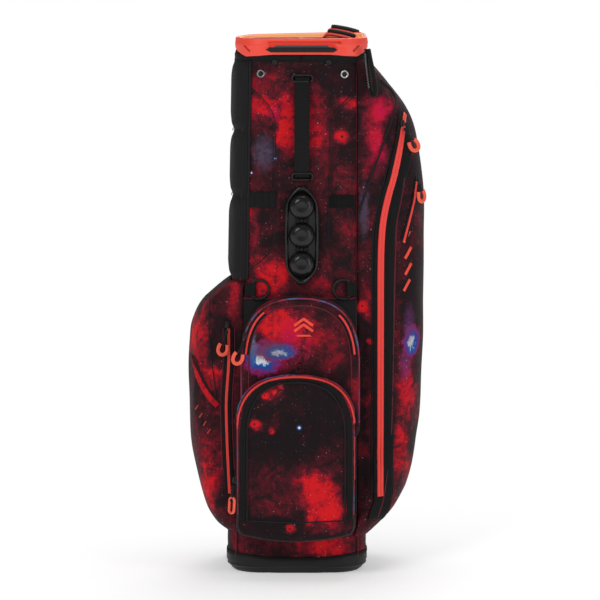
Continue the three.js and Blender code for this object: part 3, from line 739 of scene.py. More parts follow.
def make_prints():
    finish("printed_fabric", "print_front", printed_cloth, [
        (-42, 790, 30, 22, 0.34, 0), (-58, 757, 22, 17, 0.62, 0), (-44, 744, 12, 10, 0.40, 1.6),
        (-62, 722, 26, 30, 0.20, 0), (-19, 722, 15, 46, 0.92, 0), (-12, 756, 14, 18, 0.3, 0),
        (30, 720, 24, 60, 0.34, 0), (18, 740, 8, 16, 0.2, 0), (76, 762, 18, 14, 0.66, 0),
        (80, 632, 16, 26, 0.30, 0), (82, 560, 16, 34, 0.30, 0), (-71, 555, 9, 50, 0.34, 0),
        (-46, 480, 34, 30, 0.58, 0), (-20, 500, 22, 30, 0.34, 0), (-50, 462, 20, 12, 0.30, 0),
        (20, 470, 26, 22, 0.20, 0), (62, 480, 40, 40, 0.16, 0), (8, 792, 20, 14, 0.10, 0),
    ], rings=[(72, 706, 10)], hazes=[(-52, 680, 17, 26, LILAC)], ground=0.12,
        big_stars=[(-34, 671, 1.7), (-72, 648, 1.5, (1.0, 0.75, 0.75))])
    finish("printed_fabric", "print_upper", printed_cloth, [
        (-30, 420, 28, 28, 0.80, 0), (-8, 404, 22, 22, 0.50, 0.8), (-42, 398, 16, 14, 0.50, 0),
        (-10, 375, 34, 22, 0.34, 1.5), (-30, 360, 40, 22, 0.30, 1.7), (20, 396, 24, 30, 0.26, 0),
        (52, 380, 40, 44, 0.12, 0), (96, 300, 14, 30, 0.35, 0),
    ], nebulae=[(-54, 354, 21, 18), (-28, 364, 23, 10)],
        hazes=[(-70, 374, 6, 26, ICE), (-40, 366, 34, 14, LILAC)], ground=0.19)
    finish("printed_fabric", "print_ball", printed_cloth, [
        (-45, 305, 30, 14, 0.42, 0), (-36, 262, 22, 18, 0.18, 0), (-60, 253, 14, 8, 0.2, 0),
        (-40, 150, 50, 46, 0.28, 0), (30, 140, 30, 26, 0.72, 0), (46, 122, 32, 24, 0.66, 0),
        (18, 158, 26, 18, 0.30, 0), (60, 110, 26, 14, 0.45, 0), (10, 176, 60, 22, 0.14, 0),
        (84, 280, 16, 44, 0.50, 0.4), (54, 88, 26, 9, 0.34, 0), (-92, 280, 9, 40, 0.14, 1.0),
    ], rings=[(-51, 299, 5), (-26, 313, 4), (-34, 303, 3), (-67, 253, 8), (-40, 241, 5), (-11, 85, 7)],
        ground=0.065, big_stars=[(4, 247, 2.5)])
    finish("printed_fabric", "print_left", printed_cloth, [
        (-158, 380, 13, 50, 0.66, 0), (-140, 320, 26, 24, 0.22, 0), (-128, 300, 12, 40, 0.26, 0),
        (-150, 250, 12, 60, 0.10, 0), (-146, 140, 16, 50, 0.70, 0), (-128, 200, 18, 44, 0.14, 0),
        (-98, 440, 10, 44, 0.34, 0), (-104, 300, 10, 60, 0.16, 0),
    ], ground=0.13, stars=0.7)
    finish("printed_fabric", "print_right", printed_cloth, [
        (126, 730, 20, 44, 0.64, 0.5), (144, 756, 16, 20, 0.60, 0.8), (132, 690, 14, 34, 0.34, 1.0),
        (110, 760, 14, 30, 0.18, 0), (112, 648, 12, 50, 0.12, 0.5), (112, 440, 14, 26, 0.30, 0),
        (116, 280, 10, 70, 0.24, 0), (174, 250, 18, 80, 0.52, 0), (182, 300, 14, 40, 0.36, 0.4),
        (168, 190, 14, 44, 0.34, 0), (162, 440, 8, 30, 0.14, 0), (150, 560, 8, 60, 0.10, 0),
    ], rings=[(105, 434, 8), (117, 376, 5)], nebulae=[(185, 374, 9, 18)],
        hazes=[(182, 396, 9, 34, PLUM), (176, 340, 9, 26, PLUM), (108, 588, 7, 40, LILAC)], ground=0.13)
    finish("printed_fabric", "print_body", printed_cloth, [
        (52, 44, 30, 22, 0.62, 0), (10, 60, 50, 24, 0.26, 0), (-60, 50, 40, 30, 0.10, 0),
        (0, 640, 60, 90, 0.18, 0), (40, 260, 60, 70, 0.20, 0),
    ], ground=0.14)
    finish("printed_fabric", "slash_print", printed_cloth, [(-150, 300, 60, 60, 0.5, 0)],
           ground=0.3, stars=0.2)


make_prints()

# ---- Tube ----
PANEL_STEP = 6.0


def dent(s, z, seed=0.0):
    """Slow wrinkles of stretched cloth, in millimetres."""
    return (0.9 * math.sin(0.021 * z + 0.013 * s + seed) * math.sin(0.047 * s - 0.009 * z + 1.3 * seed)
            + 0.45 * math.sin(0.075 * z + 0.05 * s + 2 * seed) * math.sin(0.031 * s + 0.02 * z))


def tube_shell(name, s0, s1, z0, z1, material, node=None, off=0.0, wrinkle=1.0, thick=2.5,
               tuck=0.0, seed=0.0):
    """A cloth panel on the tube between two arc lengths and two heights, tucked in at its side seams."""
    ss = np.linspace(s0, s1, max(2, int(abs(s1 - s0) / PANEL_STEP) + 1))
    zs = np.linspace(z0, z1, max(2, int(abs(z1 - z0) / PANEL_STEP) + 1))
    verts = []
    for z in zs:
        for s in ss:
            edge = min(abs(s - s0), abs(s1 - s), abs(z1 - z), abs(z - z0))
            fade = min(1.0, edge / 18.0)
            pull_in = tuck * (1 - min(1.0, min(abs(s - s0), abs(s1 - s)) / 5.0)) ** 2
            verts.append(tube_point(s, z, off - pull_in + fade * wrinkle * dent(s, z, seed)))
    faces = grid_faces(len(zs), len(ss))
    thicken(add_mesh(name, verts, faces, material, nodes=(node,) if node else ()), thick)
    return verts, faces


SEAM_S = FLAT_X + QUARTER / 2
BACK_SEAM_S = RIGHT_START + 2 * FLAT_Y + QUARTER / 2
FRONT_CLOTH_BOTTOM = 60.0
BODY_SURFACE = {}


def build_tube():
    """Four cloth panels, the printed band at the front's foot, and their piping, stitches and binding."""
    z0, z1 = TUBE_BOTTOM, TUBE_TOP
    tube_shell("front_base_band", -SEAM_S, SEAM_S, z0, FRONT_CLOTH_BOTTOM + 6, "print_body",
               tuck=1.2, seed=4.0)
    panels = (("front", -SEAM_S, SEAM_S, "print_front", FRONT_CLOTH_BOTTOM, 0.8),
              ("right", SEAM_S, BACK_SEAM_S, "print_body", z0, 1.1),
              ("left", -BACK_SEAM_S, -SEAM_S, "print_body", z0, 1.1),
              ("back", BACK_SEAM_S, LOOP - BACK_SEAM_S, "black_cloth", z0, 1.1))
    for i, (key, s0, s1, material, low, wrinkle) in enumerate(panels):
        shell = tube_shell(f"{key}_cloth", s0, s1, low, z1, material, f"{key}_panel", tuck=1.2, seed=1.7 * i,
                           wrinkle=wrinkle)
        BODY_SURFACE[key] = Surface(*shell)
    seams = (("front_left", -SEAM_S, "piping_print"), ("front_right", SEAM_S, "piping_print"),
             ("back_left", -BACK_SEAM_S, "piping"), ("back_right", BACK_SEAM_S, "piping"))
    for name, s, material in seams:
        line = tube_line([(s, z) for z in np.arange(z0 + 1, z1 - 3, 8.0)], 0.3)
        rope(f"piping_{name}", *line, 1.5, material)
    for name, s in (("left", 4.5 - SEAM_S), ("right", SEAM_S - 4.5)):
        line = tube_line([(s, z) for z in np.arange(70, z1 - 10, 8.0)], 0.4)
        stitches(f"seam_stitches_{name}", *line, "thread_red")
    profile = [(-6.5, 0.2), (-6.5, 1.4), (-5.5, 2.2), (5.0, 2.2), (5.6, 1.4), (5.6, 0.2)]
    path, out = tube_line([(s, 829.5) for s in np.arange(0, LOOP, 4.0)])
    swept("rim_binding", path, out, profile[::-1], "binding", closed=True, nodes=("top_binding",))
    path = [tube_point(s, 825.2, 2.3) for s in np.arange(0, LOOP, 4.0)]
    stitches("rim_binding_stitches", path, out, "thread_dark", pitch=3.4, length=2.2, radius=0.4)


SEAM_RIDGE = [(5.0, -0.4), (4.8, 0.45), (3.4, 0.75), (-1.2, 0.55), (-1.6, -0.4)]


def seam_curve(name, xz):
    """A top-stitched seam on the front: a low ridge of folded cloth with two rows of stitches."""
    places, normals = BODY_SURFACE["front"].front(xz, 0.0, 4.0)
    swept(name + "_ridge", places, normals, SEAM_RIDGE, "print_front")
    rope(name + "_edge", places, normals, 0.9, "piping", sides=6, lift=0.5)
    for i, row in enumerate((0.0, 3.4)):
        stitches(f"{name}_stitches_{i}", places, normals, "thread_dark", sideways=row, lift=0.8, pitch=3.4,
                 length=2.3, radius=0.42)


def build_front_seams():
    left_top = catmull([(-76, 785), (-56, 768), (-43, 752), (-36, 734), (-34, 700)], 30)
    left_foot = catmull([(-37, 540), (-44, 522), (-60, 505), (-82, 489)], 20)
    seam_curve("left_inset_seam", np.vstack([left_top, [(-34, 620), (-35, 560)], left_foot]))
    right_top = catmull([(92, 775), (74, 760), (62, 745), (54, 722), (53, 690)], 30)
    right_foot = catmull([(50, 532), (58, 512), (74, 498), (93, 487)], 20)
    seam_curve("right_inset_seam", np.vstack([right_top, [(52, 620), (50, 560)], right_foot])[::-1])
    # The black base panel behind the two front pockets.
    tube_shell("pocket_back_panel", 2 - SEAM_S, SEAM_S - 2, 70, 447, "black_cloth",
               off=0.9, wrinkle=0.3, thick=0.6)
    places, normals = BODY_SURFACE["front"].front([(x, 447) for x in np.linspace(-84, 100, 30)], 1.1)
    rope("pocket_back_seam", places, normals, 1.2, "piping_print", sides=6)


HANDLE_X = 9.0
TO_FRONT = (0, -1, 0)


def build_trunk_handle():
    """A webbing strap that bows out between two ring brackets."""
    y = FRONT - 0.3
    path = []
    for z in np.linspace(641, 800, 48):
        bow = 13 * math.sin(math.pi * min(max((z - 647) / 145, 0), 1))
        path.append((HANDLE_X + 0.9 * math.sin(z / 60), y - 3.2 - bow, z))
    swept("handle_webbing", path, [TO_FRONT] * len(path), flat_profile(24.4, 2.4, -1.2, 0.35), "webbing",
          nodes=("handle_strap",))
    bracket = [(-1.8, -3.6), (-1.8, 1.2), (-1.0, 2.4), (1.0, 2.4), (1.8, 1.2), (1.8, -3.6)]
    for name, z_end, sign in (("top", 798, 1), ("bottom", 643, -1)):
        # The webbing turns round the bracket's bar and is sewn down behind it.
        turn = ((3.4, -3), (4.6, 0), (3.2, 2.2), (1.4, 0.5), (0.6, -8), (0.4, -20))
        fold = catmull([(HANDLE_X, y - depth, z_end + sign * rise) for depth, rise in turn], 22)
        swept(f"handle_webbing_{name}_fold", fold, [(0, -1, 0.001)] * len(fold),
              flat_profile(24.2, 1.2, -0.6), "webbing")
        ring = rounded_loop(HANDLE_X, z_end + sign * 0.5, 16.4, 5.0, 3.8)
        swept(f"handle_ring_{name}", [(x, y - 4.2, z) for x, z in ring], [TO_FRONT] * len(ring), bracket,
              "plastic", closed=True, nodes=(f"handle_bracket_{name}",))


def front_stitches(name, ends, lift):
    places, normals = BODY_SURFACE["front"].front(ends, lift, 3.0)
    stitches(name, places, normals, "thread_dark", pitch=3.0)


def build_pen_sleeves():
    """A flat band sewn down between four sleeves."""
    low, width, sleeves = -77, 44, 4
    xs = np.linspace(low, low + width, 60)
    places, normals = BODY_SURFACE["front"].front([(x, 605.5) for x in xs], 0.0, 1.0)
    lift = 1.0 + 1.6 * np.abs(np.sin((places[:, 0] - low) / width * math.pi * sleeves)) ** 0.7
    swept("pen_sleeves", places + normals * lift[:, None], normals, flat_profile(25, 1.4, -0.7),
          "webbing_across", nodes=("pen_loop",))
    for i in range(sleeves + 1):
        x = low + i * width / sleeves
        front_stitches(f"pen_sleeve_stitches_{i}", [(x, 593.5), (x, 617.5)], 1.5)


def build_hook_tape():
    places, normals = BODY_SURFACE["front"].front([(x, 602.5) for x in np.linspace(52, 91, 30)], 0.0, 1.5)
    swept("hook_tape", places, normals, flat_profile(21, 2.0, 0.2), "hook", nodes=("hook_patch",))
    for z in (594.5, 610.5):
        front_stitches(f"hook_tape_stitches_{int(z)}", [(53, z), (90, z)], 2.3)


def rounded_loop(cx, cz, half_w, half_h, r, n=6):
    """A rounded rectangle in X and Z, at an even step."""
    pts = []
    for sx, sz, start in ((1, -1, -90), (1, 1, 0), (-1, 1, 90), (-1, -1, 180)):
        for a in np.radians(np.linspace(start, start + 90, n)):
            pts.append((cx + sx * (half_w - r) + r * math.cos(a), cz + sz * (half_h - r) + r * math.sin(a)))
    return [tuple(p) for p in even(pts + pts[:1], 2.2)[:-1]]


def lathe(profile, centre, segments=40):
    """Turned piece: profile of (radius, outwards) about an axis that runs to the front through the centre."""
    verts = []
    for radius, out in profile:
        for a in np.linspace(0, 2 * math.pi, segments, endpoint=False):
            dx, dz = radius * math.cos(a), radius * math.sin(a)
            verts.append((centre[0] + dx, centre[1] - out, centre[2] + dz))
    start = (len(profile) - 1) * segments
    faces = flipped(grid_faces(len(profile), segments, True))
    faces += [tuple(range(segments)), tuple(reversed(range(start, start + segments)))]
    return verts, faces


def build_fasteners():
    """Two ring snaps with studs, and two rivets under the rim."""
    y = FRONT - 0.2
    ring = [(6.6, 0), (6.7, 0.9), (6.1, 2.0), (5.2, 2.5), (4.3, 2.2), (3.9, 1.2), (3.7, 0.9)]
    stud = [(3.7, 0.2), (3.7, 0.9), (3.2, 1.1), (2.2, 0.9), (1.9, 1.6), (1.3, 2.3), (0.3, 2.5)]
    # The two snaps are the same part; the left one's darker steel is painted shade.
    for side, x, z, steel in (("left", -57, 806, "rod_steel"), ("right", 76, 805, "steel")):
        add_mesh(f"snap_ring_{side}", *lathe(ring, (x, y, z)), steel, nodes=(f"snap_{side}",), angle=50)
        add_mesh(f"snap_stud_{side}", *lathe(stud, (x, y, z)), "plastic")
    head = [(4.4, 0), (4.5, 0.9), (4.2, 1.6), (3.4, 1.9), (2.9, 1.5), (1.6, 1.7), (0.2, 1.75)]
    for side, x in (("left", -35), ("right", 51)):
        add_mesh(f"rivet_head_{side}", *lathe(head, (x, y - 1.4, 824)), "plastic",
                 nodes=(f"rivet_{side}",), angle=50)


def build_rings():
    """Wire D-rings held by folded webbing tabs."""
    y, z = FRONT - 3.0, 462.0
    half = 15.2
    bow = [(8.8 + 15.4 * math.cos(a), half * math.sin(a)) for a in np.radians(np.linspace(-90, 90, 15))]
    wire = [(0, -half), (7, -half)] + bow + [(7, half), (0, half), (-0.4, 12), (-0.4, -12), (0, -half)]
    wire = even(wire, 1.5)[:-1]
    for side, bar_x, sign in (("left", -68.3, 1), ("right", 82.3, -1)):
        path = [(bar_x + sign * px, y, z + pz) for px, pz in wire]
        swept(f"d_ring_wire_{side}", path, [TO_FRONT] * len(path), round_profile(2.3, 10), "rubber",
              closed=True, body=f"ring_{side}", nodes=(f"d_ring_{side}",))
        # The webbing goes round the bar, and both plies run back to the seam.
        turn = ((-14, 0.4), (-6, 1.1), (-1, -2.4), (2.5, -1.2), (2.6, 1.2), (0.5, 2.3), (-14, 2.6))
        loop = catmull([(bar_x + sign * ahead, y + depth) for ahead, depth in turn], 30)
        path = [(px, py, z) for px, py in loop]
        out = [(sign * dy, -sign * dx, 0) for dx, dy, _ in np.gradient(np.array(path), axis=0)]
        swept(f"d_ring_webbing_{side}", path, out, flat_profile(21.5, 1.3, -0.65), "webbing_across",
              nodes=(f"d_ring_tab_{side}",))


BALL_HOLDER = (8.0, FRONT - 0.4, 549.0)
BALL_PITCH = 45.8


def boat_outline(half_w, half_h, n=96):
    """A long boat: straight sides, and tapering ends that are blunt at the tip."""
    pts = []
    for a in np.linspace(0, 2 * math.pi, n, endpoint=False):
        c, s = math.cos(a), math.sin(a)
        z = math.copysign(abs(s) ** 0.62, s) * half_h
        taper = 1.0 if abs(z) < 50 else 1 - 0.62 * ((abs(z) - 50) / (half_h - 50 + 1e-6)) ** 1.6
        pts.append((math.copysign(abs(c) ** 0.45, c) * half_w * taper, z))
    return pts


def build_ball_holder():
    """Glossy rubber boat with a raised rim, three ball domes and small pinched ribs between them."""
    cx, y0, cz = BALL_HOLDER
    layers = [(27.5, 79.0, 0.0), (27.5, 79.0, 6.5), (26.7, 78.0, 9.0), (25.1, 76.2, 10.4), (23.1, 73.4, 9.8),
              (21.9, 70.0, 7.0), (21.5, 67.0, 4.4), (3.0, 45.0, 4.4)]
    verts = [(cx + x, y0 - out, cz + z) for w, h, out in layers for x, z in boat_outline(w, h)]
    n = len(verts) // len(layers)
    faces = flipped(grid_faces(len(layers), n, True)) + [tuple(reversed(range(len(verts) - n, len(verts))))]
    faces.append(tuple(range(n)))
    add_mesh("ball_holder_boat", verts, faces, "gloss_rubber", nodes=("ball_holder",), angle=60)
    dome = [(20.6, 0.0), (20.7, 3.0), (20.3, 6.4), (19.2, 9.8), (17.2, 12.8), (14.4, 15.2), (11.2, 16.6),
            (9.0, 17.0), (7.6, 16.8), (5.4, 16.2), (3.0, 15.9), (0.4, 15.8)]
    for i in (-1, 0, 1):
        centre = (cx, y0 - 4.0, cz + i * BALL_PITCH)
        add_mesh(f"ball_dome_{i + 2}", *lathe(dome, centre, segments=56), "gloss_rubber")
    nub = [(2.3, 0.0), (2.2, 3.6), (1.5, 5.0), (0.3, 5.5)]
    for row, i in enumerate((-0.5, 0.5)):
        for side, sign in (("l", -1), ("r", 1)):
            for k, (dx, dz) in enumerate(((3.5, 0), (9.0, 2.6), (9.0, -2.6))):
                centre = (cx + sign * dx, y0 - 4.0, cz + i * BALL_PITCH + dz)
                add_mesh(f"ball_holder_nub_{1 + 2 * row}_{side}_{k}", *lathe(nub, centre, segments=16),
                         "gloss_rubber")


# ---- Front pockets ----
def bezier(p0, p1, p2, p3, n):
    t = np.linspace(0, 1, n)[:, None]
    p0, p1, p2, p3 = (np.array(p, float) for p in (p0, p1, p2, p3))
    return (1 - t) ** 3 * p0 + 3 * (1 - t) ** 2 * t * p1 + 3 * (1 - t) * t * t * p2 + t ** 3 * p3


def arch_side(edge, middle, shoulder, top, from_top=False):
    """One shoulder of an arch, from its edge up to its top, or from its top down to its edge."""
    points = [(edge, shoulder), (edge, lerp(shoulder, top, 0.7)), (lerp(middle, edge, 0.68), top),
              (middle, top)]
    return bezier(*(points[::-1] if from_top else points), 24)


def arch_outline(left, right, bottom, shoulder, top, droop, step=5.0):
    """A closed arch with a drooping foot, from its lower left end at an even step."""
    middle = (left + right) / 2
    foot = 14.0
    ends = ((left + foot, bottom), (middle, bottom - 2 * droop), (right - foot, bottom))
    quad = [tuple((1 - t) ** 2 * a + 2 * (1 - t) * t * b + t * t * c for a, b, c in zip(*ends))
            for t in np.linspace(0, 1, 20)]
    pts = np.vstack([quad, [(right - 5, bottom + 3), (right, bottom + foot)],
                     arch_side(right, middle, shoulder, top),
                     arch_side(left, middle, shoulder, top, from_top=True)[1:],
                     [(left, bottom + foot), (left + 5, bottom + 3), (left + foot, bottom)]])
    return even(pts, step)[:-1]


# The gusset, from the panel to the face's edge: share of the depth and share of the outline.
PILLOW = [(0.0, 1.0), (0.45, 1.0), (0.8, 0.985), (0.95, 0.95), (1.0, 0.90)]
GUSSET_ROWS = 13


def front_pocket(outline, back, front, centre, crown, seed):
    """Grid of a puffed pocket: rings from the panel out round the gusset and in over the face."""
    n = len(outline)
    shares = np.linspace(0, 1, GUSSET_ROWS), np.linspace(0, 1, len(PILLOW))
    rows = list(zip(np.interp(*shares, [p[0] for p in PILLOW]), np.interp(*shares, [p[1] for p in PILLOW])))
    for size in np.linspace(0.90, 0.03, 19)[1:]:
        rows.append((1.0 + crown / abs(front - back) * (1 - (size / 0.9) ** 2), size))
    verts, pinned = [], []
    cx, cz = centre
    for r, (depth, size) in enumerate(rows):
        for x, z in outline:
            px, pz = cx + (x - cx) * size, cz + (z - cz) * size
            ripple = 0.5 * math.sin(px * 0.07 + seed) * math.sin(pz * 0.055 + 2 * seed)
            verts.append((px, lerp(back, front, depth) - (ripple if size < 0.9 else 0), pz))
            pinned.append(r == 0 or abs(r - (GUSSET_ROWS - 1)) <= 1)
    faces = flipped(grid_faces(len(rows), n, True))
    last = (len(rows) - 1) * n
    verts.append(tuple(np.mean(verts[last:last + n], axis=0)))
    pinned.append(False)
    faces += [(last + i, last + (i + 1) % n, last + n) for i in range(n)]
    return inflate(verts, faces, np.array(pinned), 2.0, 4.0), faces


POCKET = {}


def build_front_pockets():
    for key, outline, front, centre, crown, seed in (
            ("upper", (-91, 102, 224, 340, 453, 0), -145.0, (5, 345), 3.5, 1.0),
            ("ball", (-98, 95, 69, 240, 329, 10), -174.0, (0, 190), 3.0, 2.0)):
        shell = front_pocket(arch_outline(*outline), FRONT - 0.6, front, centre, crown, seed)
        add_mesh(f"{key}_pocket_cloth", *shell, f"print_{key}", nodes=(f"{key}_pocket",))
        POCKET[key] = Surface(*shell)


def pocket_curve(key, xz, lift, step=3.0):
    """A front-view curve laid on a front pocket."""
    return POCKET[key].front(xz, lift, step, y=-200.0)


def open_arch(left, right, shoulder, top, low, low_right=None):
    """An open arch from its lower left end, over the top, to its lower right end."""
    middle = (left + right) / 2
    pts = np.vstack([[(left, low)], arch_side(left, middle, shoulder, top),
                     arch_side(right, middle, shoulder, top, from_top=True)[1:],
                     [(right, low if low_right is None else low_right)]])
    return even(pts, 3.0)


def zip_line(name, places, normals, width, tape=0.0):
    """A coated zip: a coral band with a groove down its middle, on a black tape."""
    if tape:
        swept(name + "_tape", places, normals, flat_profile(tape, 0.7), "tape")
    h = width / 2
    half = [(h, 0.3), (h, 1.2), (h * 0.8, 1.7), (0.35, 1.8)]
    profile = half + [(0, 1.2)] + [(-x, out) for x, out in half[::-1]]
    swept(name + "_band", places, normals, profile, "zip_coral", angle=70)


def build_ball_pocket_trim():
    """Zip round the gusset's edge, tape inside it, piping and stitches round the face, and piping along its
    foot.
    """
    edge = pocket_curve("ball", open_arch(-93.5, 91.5, 238, 326, 162, low_right=156), 0.2)
    zip_line("ball_zip", *edge, 5.0)
    tape = pocket_curve("ball", open_arch(-85.5, 84, 234, 323.5, 100), 0.15)
    swept("ball_zip_tape", *tape, flat_profile(9.0, 0.8), "tape")
    face = pocket_curve("ball", open_arch(-79, 77, 232, 319, 97), 0.4)
    rope("ball_face_piping", *face, 1.5, "piping")
    stitches("ball_face_stitches", *face, "thread_dark", sideways=3.4, lift=0.5)
    foot = pocket_curve("ball", catmull([(-78, 98), (0, 95), (76, 98)], 30), 0.3)
    rope("ball_bottom_piping", *foot, 1.1, "piping", sides=6)


def build_upper_pocket_trim():
    """Crescent zips at both shoulders, and piping round the rim and the face."""
    p, n = pocket_curve("upper", open_arch(-81.5, 92.5, 340, 444, 345), 0.5)
    high = p[:, 2] > 358
    for name, side in (("left", p[:, 0] < -50), ("right", p[:, 0] > 66)):
        zip_line(f"upper_zip_{name}", p[side & high], n[side & high], 3.2, tape=9.0)
    rim = pocket_curve("upper", open_arch(-88, 99, 340, 449.5, 250), 0.3)
    rope("upper_rim_piping", *rim, 1.5, "piping_rim")
    face = pocket_curve("upper", open_arch(-76.5, 87, 338, 439, 300), 0.3)
    rope("upper_face_piping", *face, 1.1, "piping_print", sides=6)


def build_gusset_piping():
    """Piping on the ball pocket's gusset at two depths, found by rays from outside."""
    for name, y, material, radius in (("ball_gusset_piping", -150.0, "piping_rim", 1.4),
                                      ("ball_root_piping", FRONT - 3, "piping", 1.6)):
        places, normals = [], []
        for x, z in open_arch(-98, 95, 240, 329, 100):
            out = np.array((x, 0.0, z - 200))
            out /= np.linalg.norm(out)
            hit = POCKET["ball"].tree.ray_cast(Vector(np.array((x, y, z)) + out * 60), Vector(-out))[0]
            if hit is not None:
                places.append(np.array(hit) + out * 0.6)
                normals.append(out)
        rope(name, places, normals, radius, material)


# ---- Side pockets ----
PLAN_OFF = 1.2
LEFT_PLAN = [(108, -104), (138, -97), (160, -80), (172, -45), (174, 0), (164, 40), (136, 66)]
RIGHT_PLAN = [(116, -103), (150, -96), (174, -80), (192, -45), (198, 0), (188, 45), (150, 78)]
# Side pocket heights with the stand-off of the widest place at each.
LEFT_LEVELS = [(67, 1.5), (74, 12), (84, 23), (112, 38), (200, 60), (300, 67), (380, 67), (410, 61),
               (436, 48), (458, 25), (474, 2)]
RIGHT_LEVELS = [(60, 1.5), (70, 14), (84, 30), (110, 54), (170, 74), (280, 87), (430, 91), (610, 91),
                (700, 81), (750, 63), (790, 31), (812, 14), (828, 2)]


def side_outline(plan, front_angle, rear_angle):
    """A side pocket's plan curve, drawn for the right side, from the front seam to the rear seam."""
    r = CORNER + PLAN_OFF
    start = (FLAT_X + r * math.cos(front_angle), -FLAT_Y + r * math.sin(front_angle))
    end = (FLAT_X + r * math.cos(rear_angle), FLAT_Y + r * math.sin(rear_angle))
    curve = catmull([start] + plan, 80)
    return even(np.vstack([curve, [end]]), 5.0)


def side_pocket(key, plan, levels, sign, seed):
    """A side pocket's shell: its plan curve drawn at every height, with the stand-off of that height."""
    widest = max(off for _, off in levels)
    zs = np.arange(levels[0][0], levels[-1][0] + 0.1, 5.5)
    zs[-1] = levels[-1][0]
    fine = catmull(levels, 400)
    order = np.argsort(fine[:, 0])
    offs = np.interp(zs, fine[order, 0], fine[order, 1])
    verts, pinned = [], []
    n = len(plan)
    for r, (z, off) in enumerate(zip(zs, offs)):
        for c, (x, y) in enumerate(plan):
            surface = side_x(y, PLAN_OFF)
            share = max(0.0, (x - surface) * off / widest)
            edge = min(c, n - 1 - c, r, len(zs) - 1 - r)
            ripple = (0.8 * math.sin(0.045 * z + seed) * math.sin(0.055 * y + 1.7 * seed + 0.01 * z)
                      * min(1.0, edge / 6.0))
            px = sign * (surface * width_scale(z) + share + ripple) + centre_x(z)
            py = y * (back_scale(z) if y > 0 else 1.0)
            verts.append((px, py, z))
            pinned.append(c in (0, n - 1) or r in (0, len(zs) - 1))
    faces = grid_faces(len(zs), n)
    if sign < 0:
        faces = flipped(faces)
    verts = inflate(verts, faces, np.array(pinned), 0.8, 3.5, shrink=0.004)
    thicken(add_mesh(f"{key}_pocket_cloth", verts, faces, f"print_{key}", nodes=(f"{key}_pocket",)), 2.0)
    POCKET[key] = Surface(verts, faces)


def side_curve(key, xz, lift=0.0, points=60):
    """A smooth front-view curve through a few places, laid on a side pocket."""
    return POCKET[key].front(catmull(xz, points), lift, 4.0, y=-60.0)


def build_side_pockets():
    side_pocket("left", side_outline(LEFT_PLAN, -0.95, 0.35), LEFT_LEVELS, -1, 2.0)
    side_pocket("right", side_outline(RIGHT_PLAN, -0.84, 0.6), RIGHT_LEVELS, 1, 3.0)


def laid_rope(name, key, xz, radius, material, lift=0.3):
    rope(name, *side_curve(key, xz, lift), radius, material)


def laid_band(name, key, xz, width, thick, material, lift, points=60):
    swept(name, *side_curve(key, xz, lift, points), flat_profile(width, thick), material)


RIGHT_ZIP = [(170, 722), (164, 684), (156, 645), (147, 612), (139, 575), (135.5, 537), (134.5, 485),
             (134.5, 390), (134.5, 250), (134.5, 125)]
LEFT_ZIP = [(-109, 398), (-109, 342), (-113, 281), (-112, 219), (-110, 170), (-108, 130)]


YOKE = [(134, 794), (152, 778), (159, 763), (155, 745), (150, 727), (137, 691), (122, 650), (110, 614),
        (98, 582)]
SIDE_PIPING = [(180, 700), (174, 655), (168, 609), (160, 567), (158, 511), (156, 406), (154, 283), (151, 208),
               (141, 127), (131, 90)]
SLASH = [(-170, 348), (-158, 316), (-142, 288), (-127, 272)]


def moved(xz, dx, dz=0.0):
    return [(x + dx, z + dz) for x, z in xz]


def build_right_trim():
    """A broad black zip panel with the coral zip down its middle, the yoke and the small side zip."""
    panel = [(172, 735)] + moved(RIGHT_ZIP[1:], 4.5) + [(134, 104), (127, 86)]
    laid_band("right_zip_panel", "right", panel, 33.0, 0.9, "tape", 0.2)
    zip_line("right_zip", *side_curve("right", RIGHT_ZIP, 1.0, 120), 10.5)
    for side, shift in (("inner", -13.5), ("outer", 20.5)):
        laid_rope(f"right_zip_piping_{side}", "right", moved(RIGHT_ZIP[1:], shift), 1.2, "piping")
    for i, shift in enumerate((-7.5, 9.5, 12.5)):
        line = side_curve("right", moved(RIGHT_ZIP[1:], shift), 1.2, 90)
        stitches(f"right_zip_stitches_{i}", *line, "thread_dark", pitch=3.6)
    laid_rope("yoke_piping", "right", YOKE, 1.8, "piping")
    stitches("yoke_stitches", *side_curve("right", moved(YOKE[1:-1], -5, -3), 0.4), "thread_dark")
    laid_rope("right_side_piping", "right", SIDE_PIPING, 1.5, "piping_print")
    side_zip = side_curve("right", [(192, 632), (188, 601), (180, 568), (172, 538)], 0.4, 40)
    zip_line("side_zip", *side_zip, 4.0, tape=12.0)
    laid_band("right_zip_tab", "right", [(172.5, 740), (170.5, 728)], 8.0, 2.2, "coral", 1.0, 12)


def build_left_trim():
    """The long zip with its piping, and the slash opening with its lip."""
    zip_line("left_zip", *side_curve("left", LEFT_ZIP, 0.4, 80), 4.6, tape=15.0)
    for i, shift in enumerate((-9.0, 9.5)):
        laid_rope(f"left_zip_piping_{i}", "left", moved(LEFT_ZIP[:-1], shift), 1.0, "piping_print")
    laid_band("slash_lip", "left", SLASH, 9.0, 1.0, "slash_print", 0.6)
    laid_rope("slash_edge", "left", moved(SLASH, 5.0, 3.0), 1.3, "piping", lift=0.6)
    laid_rope("slash_seam", "left", [(-140, 445), (-141, 400), (-136, 340), (-128, 277)], 0.9, "piping")


def build_marks():
    """Plain slanted coral marks where a bag of this kind carries lettering."""
    for i in range(4):
        x, z = 177 + 3.0 * math.sin(i), 544 - i * 26
        laid_band(f"side_mark_{i}", "right", [(x - 5.5, z - 9), (x + 4.5, z + 9)], 5.0, 0.5, "mark", 0.5, 12)
    for i in range(4):
        x, z = -161 + i * 6.5, 268 - i * 12.5
        laid_band(f"left_mark_{i}", "left", [(x - 2.5, z - 4), (x + 2.5, z + 4)], 2.6, 0.4, "mark_dull",
                  0.5, 8)


